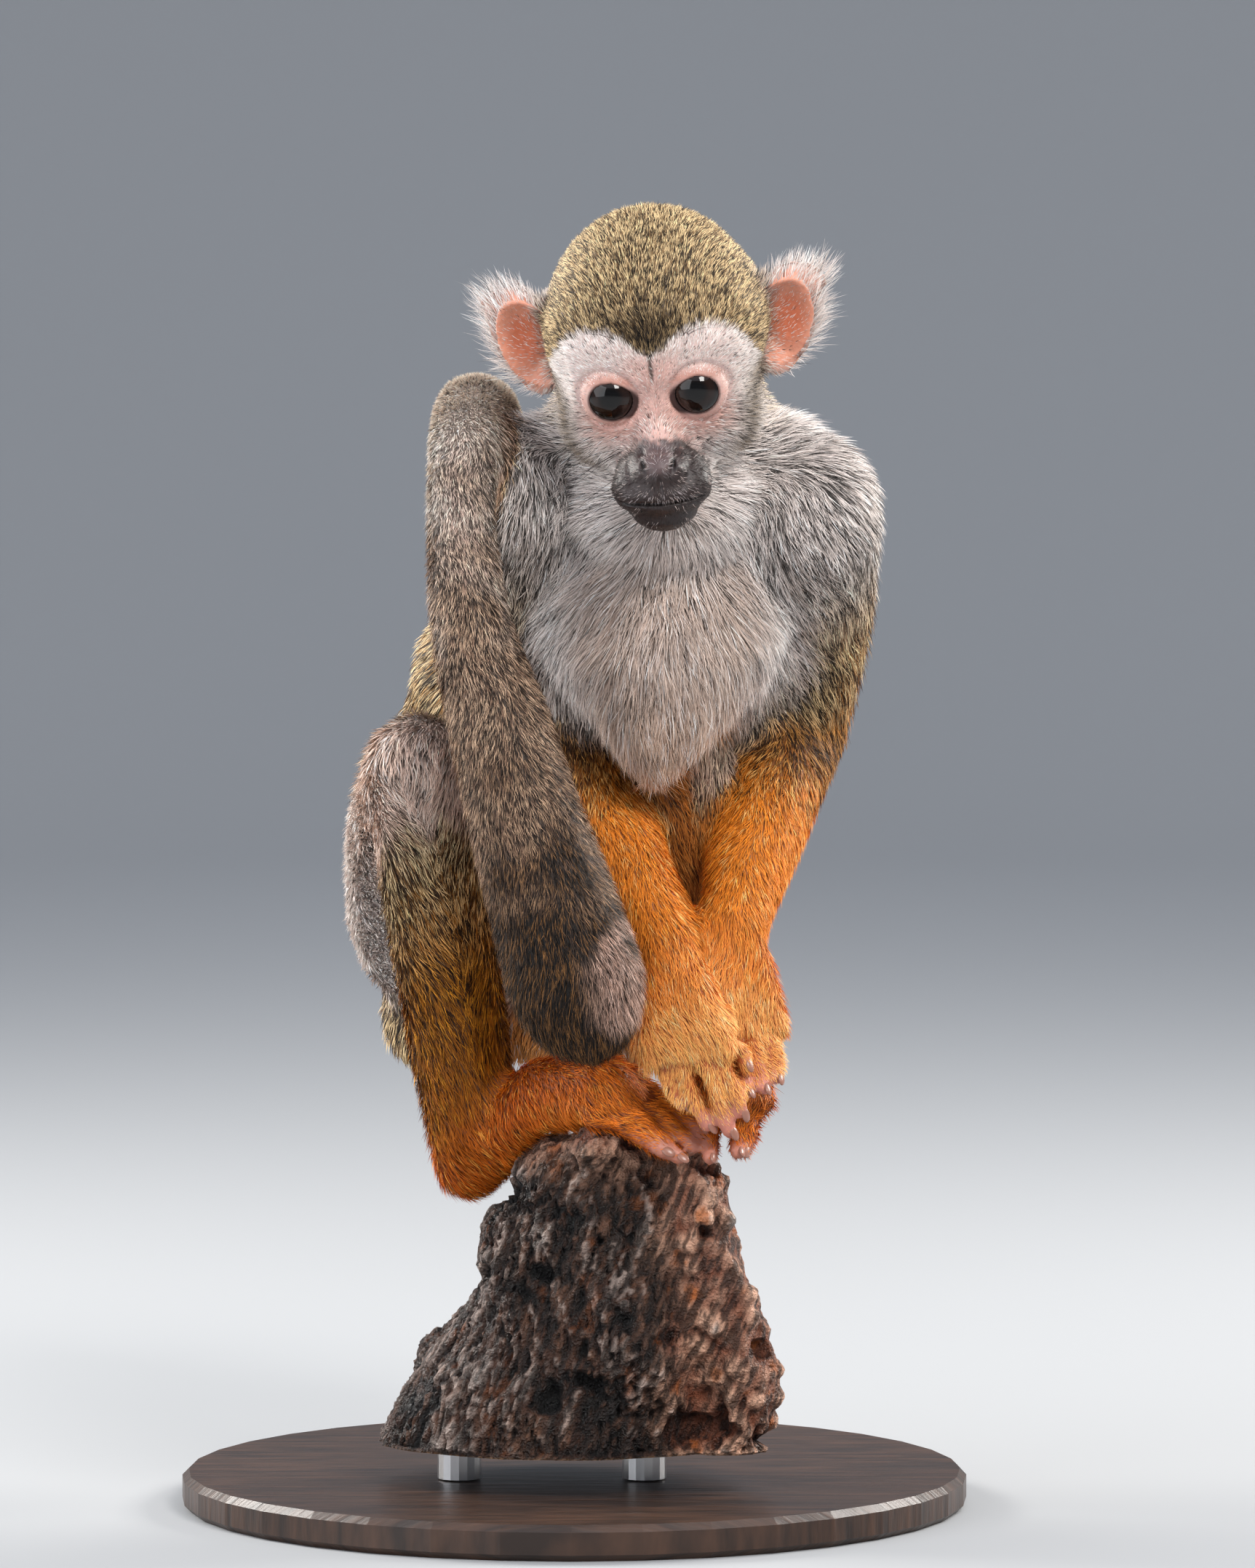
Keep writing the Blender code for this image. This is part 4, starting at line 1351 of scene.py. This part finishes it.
def stand_materials():
    """Dark satin wood for the base and satin steel for the rods."""
    wood, tree, shader = node_material("stained_wood")
    grain = noise_node(tree, 540, 6, (9, 1, 9)).outputs["Fac"]
    colours = colour_ramp(tree, grain, (0.35, 0.7), (rgb(38, 25, 18), rgb(74, 50, 36)))
    tree.links.new(colours, shader.inputs["Base Color"])
    shader.inputs["Roughness"].default_value = 0.38
    add_bump(tree, shader, grain, 0.0003)
    steel, tree, shader = node_material("satin_steel")
    shader.inputs["Base Color"].default_value = (0.6, 0.6, 0.61, 1)
    shader.inputs["Metallic"].default_value = 1.0
    shader.inputs["Roughness"].default_value = 0.32
    add_bump(tree, shader, noise_node(tree, 900, 3, (1, 1, 30)).outputs["Fac"], 0.00005)
    return wood, steel


# ---------------- properties and operators


class MonkeyCoat(bpy.types.PropertyGroup):
    """How thick the coat is."""

    thickness: bpy.props.FloatProperty(
        name="Thickness", description="Tufts against the usual number", default=1.0, min=0.05, max=2
    )


class MonkeyView(bpy.types.PropertyGroup):
    """The camera, the lights and the floor."""

    distance: bpy.props.FloatProperty(
        name="Distance", description="From the animal", default=1.7, unit="LENGTH"
    )
    elevation: bpy.props.FloatProperty(
        name="Elevation", description="Above the horizon", default=math.radians(3), subtype="ANGLE"
    )
    width: bpy.props.FloatProperty(
        name="Width", description="Seen across at the animal", default=0.2786, unit="LENGTH"
    )
    key: bpy.props.FloatProperty(name="Key light", description="Power", default=17.5, unit="POWER")
    fill: bpy.props.FloatProperty(name="Fill light", description="Power", default=15.0, unit="POWER")
    rim: bpy.props.FloatProperty(name="Rim lights", description="Power", default=14.0, unit="POWER")
    floor: bpy.props.FloatVectorProperty(
        name="Floor", description="Colour", default=(0.35, 0.357, 0.365), subtype="COLOR"
    )


def fit(piece, material):
    """Gives a piece its material and its place on the body."""
    piece.data.materials.append(material)
    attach(piece, BODY)


class MONKEY_OT_body(bpy.types.Operator):
    """Makes the skin and the coat over it"""

    bl_idname = "monkey.body"
    bl_label = "Skin and coat"

    def execute(self, context):
        atlas = Atlas()
        skin = make_skin(atlas)
        coat = make_coat(skin, atlas)
        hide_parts(*SOFT_NODES)
        fit(skin, skin_material())
        fur = coat_material()
        for piece in coat:
            fit(piece, fur)
        return {"FINISHED"}


class MONKEY_OT_details(bpy.types.Operator):
    """Makes the eyes, nails and whiskers"""

    bl_idname = "monkey.details"
    bl_label = "Eyes, nails and whiskers"

    def execute(self, context):
        shine = eye_material()
        for side in SIDES:
            fit(make_eye(side), shine)
        horn = painted("nail", 0.3)[0]
        for piece in (make_nails(), make_whiskers(bpy.data.objects["skin"])):
            fit(piece, horn)
        return {"FINISHED"}


class MONKEY_OT_mount(bpy.types.Operator):
    """Makes the branch and finishes the stand"""

    bl_idname = "monkey.mount"
    bl_label = "Branch and stand"

    def execute(self, context):
        fit(make_branch(), branch_material())
        wood, steel = stand_materials()
        for name, node in frame["nodes"].items():
            if name.startswith("stand_"):
                node.data.materials.clear()
                node.data.materials.append(wood if name == "stand_base" else steel)
        return {"FINISHED"}


def area_light(name, place, target, size, power, colour):
    light = bpy.data.lights.new(name, "AREA")
    light.size, light.energy, light.color = size, power, colour
    made = linked(name, light)
    made.location = place
    made.rotation_euler = (Vector(place) - Vector(target)).to_track_quat("Z", "Y").to_euler()
    made.visible_camera = False


class MONKEY_OT_stage(bpy.types.Operator):
    """Sets the camera, the soft lights and the pale floor with its backdrop"""

    bl_idname = "monkey.stage"
    bl_label = "Stage"

    def execute(self, context):
        view = context.scene.monkey_view
        target = Vector(HEAD_ORIGIN * MM) + Vector(BELOW_HEAD)
        to_camera = Vector((0, -math.cos(view.elevation), math.sin(view.elevation)))
        camera = linked("camera", bpy.data.cameras.new("camera"))
        context.scene.camera = camera
        camera.location = target + to_camera * view.distance
        camera.rotation_euler = to_camera.to_track_quat("Z", "Y").to_euler()
        camera.data.sensor_fit = "HORIZONTAL"
        camera.data.lens = camera.data.sensor_width * view.distance / view.width
        camera.data.clip_end = 20
        area_light("key", target + Vector((0.55, -1.0, 1.0)), target, 0.5, view.key, KEY_COLOUR)
        area_light("fill", target + Vector((-1.2, -0.8, 0.35)), target, 1.4, view.fill, FILL_COLOUR)
        for sign in (-1, 1):
            place = target + Vector((sign * 0.9, 0.5, 0.5))
            area_light("rim", place, target, 0.4, view.rim, RIM_COLOUR)
        world = bpy.data.worlds.new("studio")
        world.use_nodes = True
        world.node_tree.nodes["Background"].inputs["Color"].default_value = (0.85, 0.9, 1, 1)
        world.node_tree.nodes["Background"].inputs["Strength"].default_value = 1.0
        context.scene.world = world
        self.backdrop(view)
        return {"FINISHED"}

    def backdrop(self, view):
        """A floor that curves up all round."""
        shape = bmesh.new()
        bend = [(0.0, 0.0)]
        for k in range(17):
            turn = k / 16 * math.pi / 2
            bend.append((FLOOR_REACH + BEND * math.sin(turn), BEND * (1 - math.cos(turn))))
        bend.append((FLOOR_REACH + BEND, WALL))
        rows = [shape.verts.new((r, 0, z)) for r, z in bend]
        edges = [shape.edges.new(pair) for pair in zip(rows, rows[1:])]
        axis, whole = (0, 0, 1), 2 * math.pi
        bmesh.ops.spin(shape, geom=[*rows, *edges], axis=axis, cent=(0, 0, 0), angle=whole, steps=72)
        bmesh.ops.remove_doubles(shape, verts=shape.verts, dist=1e-4)
        bmesh.ops.recalc_face_normals(shape, faces=shape.faces)
        mesh = bpy.data.meshes.new("backdrop")
        shape.to_mesh(mesh)
        shape.free()
        mesh.shade_smooth()
        made = linked("backdrop", mesh)
        material, _, shader = node_material("paper")
        shader.inputs["Base Color"].default_value = (*view.floor, 1)
        shader.inputs["Roughness"].default_value = 0.9
        mesh.materials.append(material)


class MONKEY_PT_panel(bpy.types.Panel):
    """Lists the steps"""

    bl_label = "Squirrel monkey"
    bl_idname = "MONKEY_PT_panel"
    bl_space_type = "VIEW_3D"
    bl_region_type = "UI"
    bl_category = "Monkey"

    def draw(self, context):
        for group in (context.scene.monkey_coat, context.scene.monkey_view):
            for name in group.__annotations__:
                self.layout.prop(group, name)
        for step in STEPS:
            self.layout.operator(step.bl_idname)


STEPS = (MONKEY_OT_body, MONKEY_OT_details, MONKEY_OT_mount, MONKEY_OT_stage)
CLASSES = (MonkeyCoat, MonkeyView, *STEPS, MONKEY_PT_panel)


def register():
    for cls in CLASSES:
        bpy.utils.register_class(cls)
    bpy.types.Scene.monkey_coat = bpy.props.PointerProperty(type=MonkeyCoat)
    bpy.types.Scene.monkey_view = bpy.props.PointerProperty(type=MonkeyView)


def unregister():
    del bpy.types.Scene.monkey_coat
    del bpy.types.Scene.monkey_view
    for cls in reversed(CLASSES):
        bpy.utils.unregister_class(cls)


def main():
    for name in [o.name for o in bpy.data.objects if o.name in ("Cube", "Light", "Camera")]:
        bpy.data.objects.remove(bpy.data.objects[name])
    register()
    bpy.context.scene.view_settings.view_transform = "Standard"
    bpy.ops.monkey.body()
    bpy.ops.monkey.details()
    bpy.ops.monkey.mount()
    bpy.ops.monkey.stage()
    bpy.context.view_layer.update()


if __name__ == "__main__":
    main()
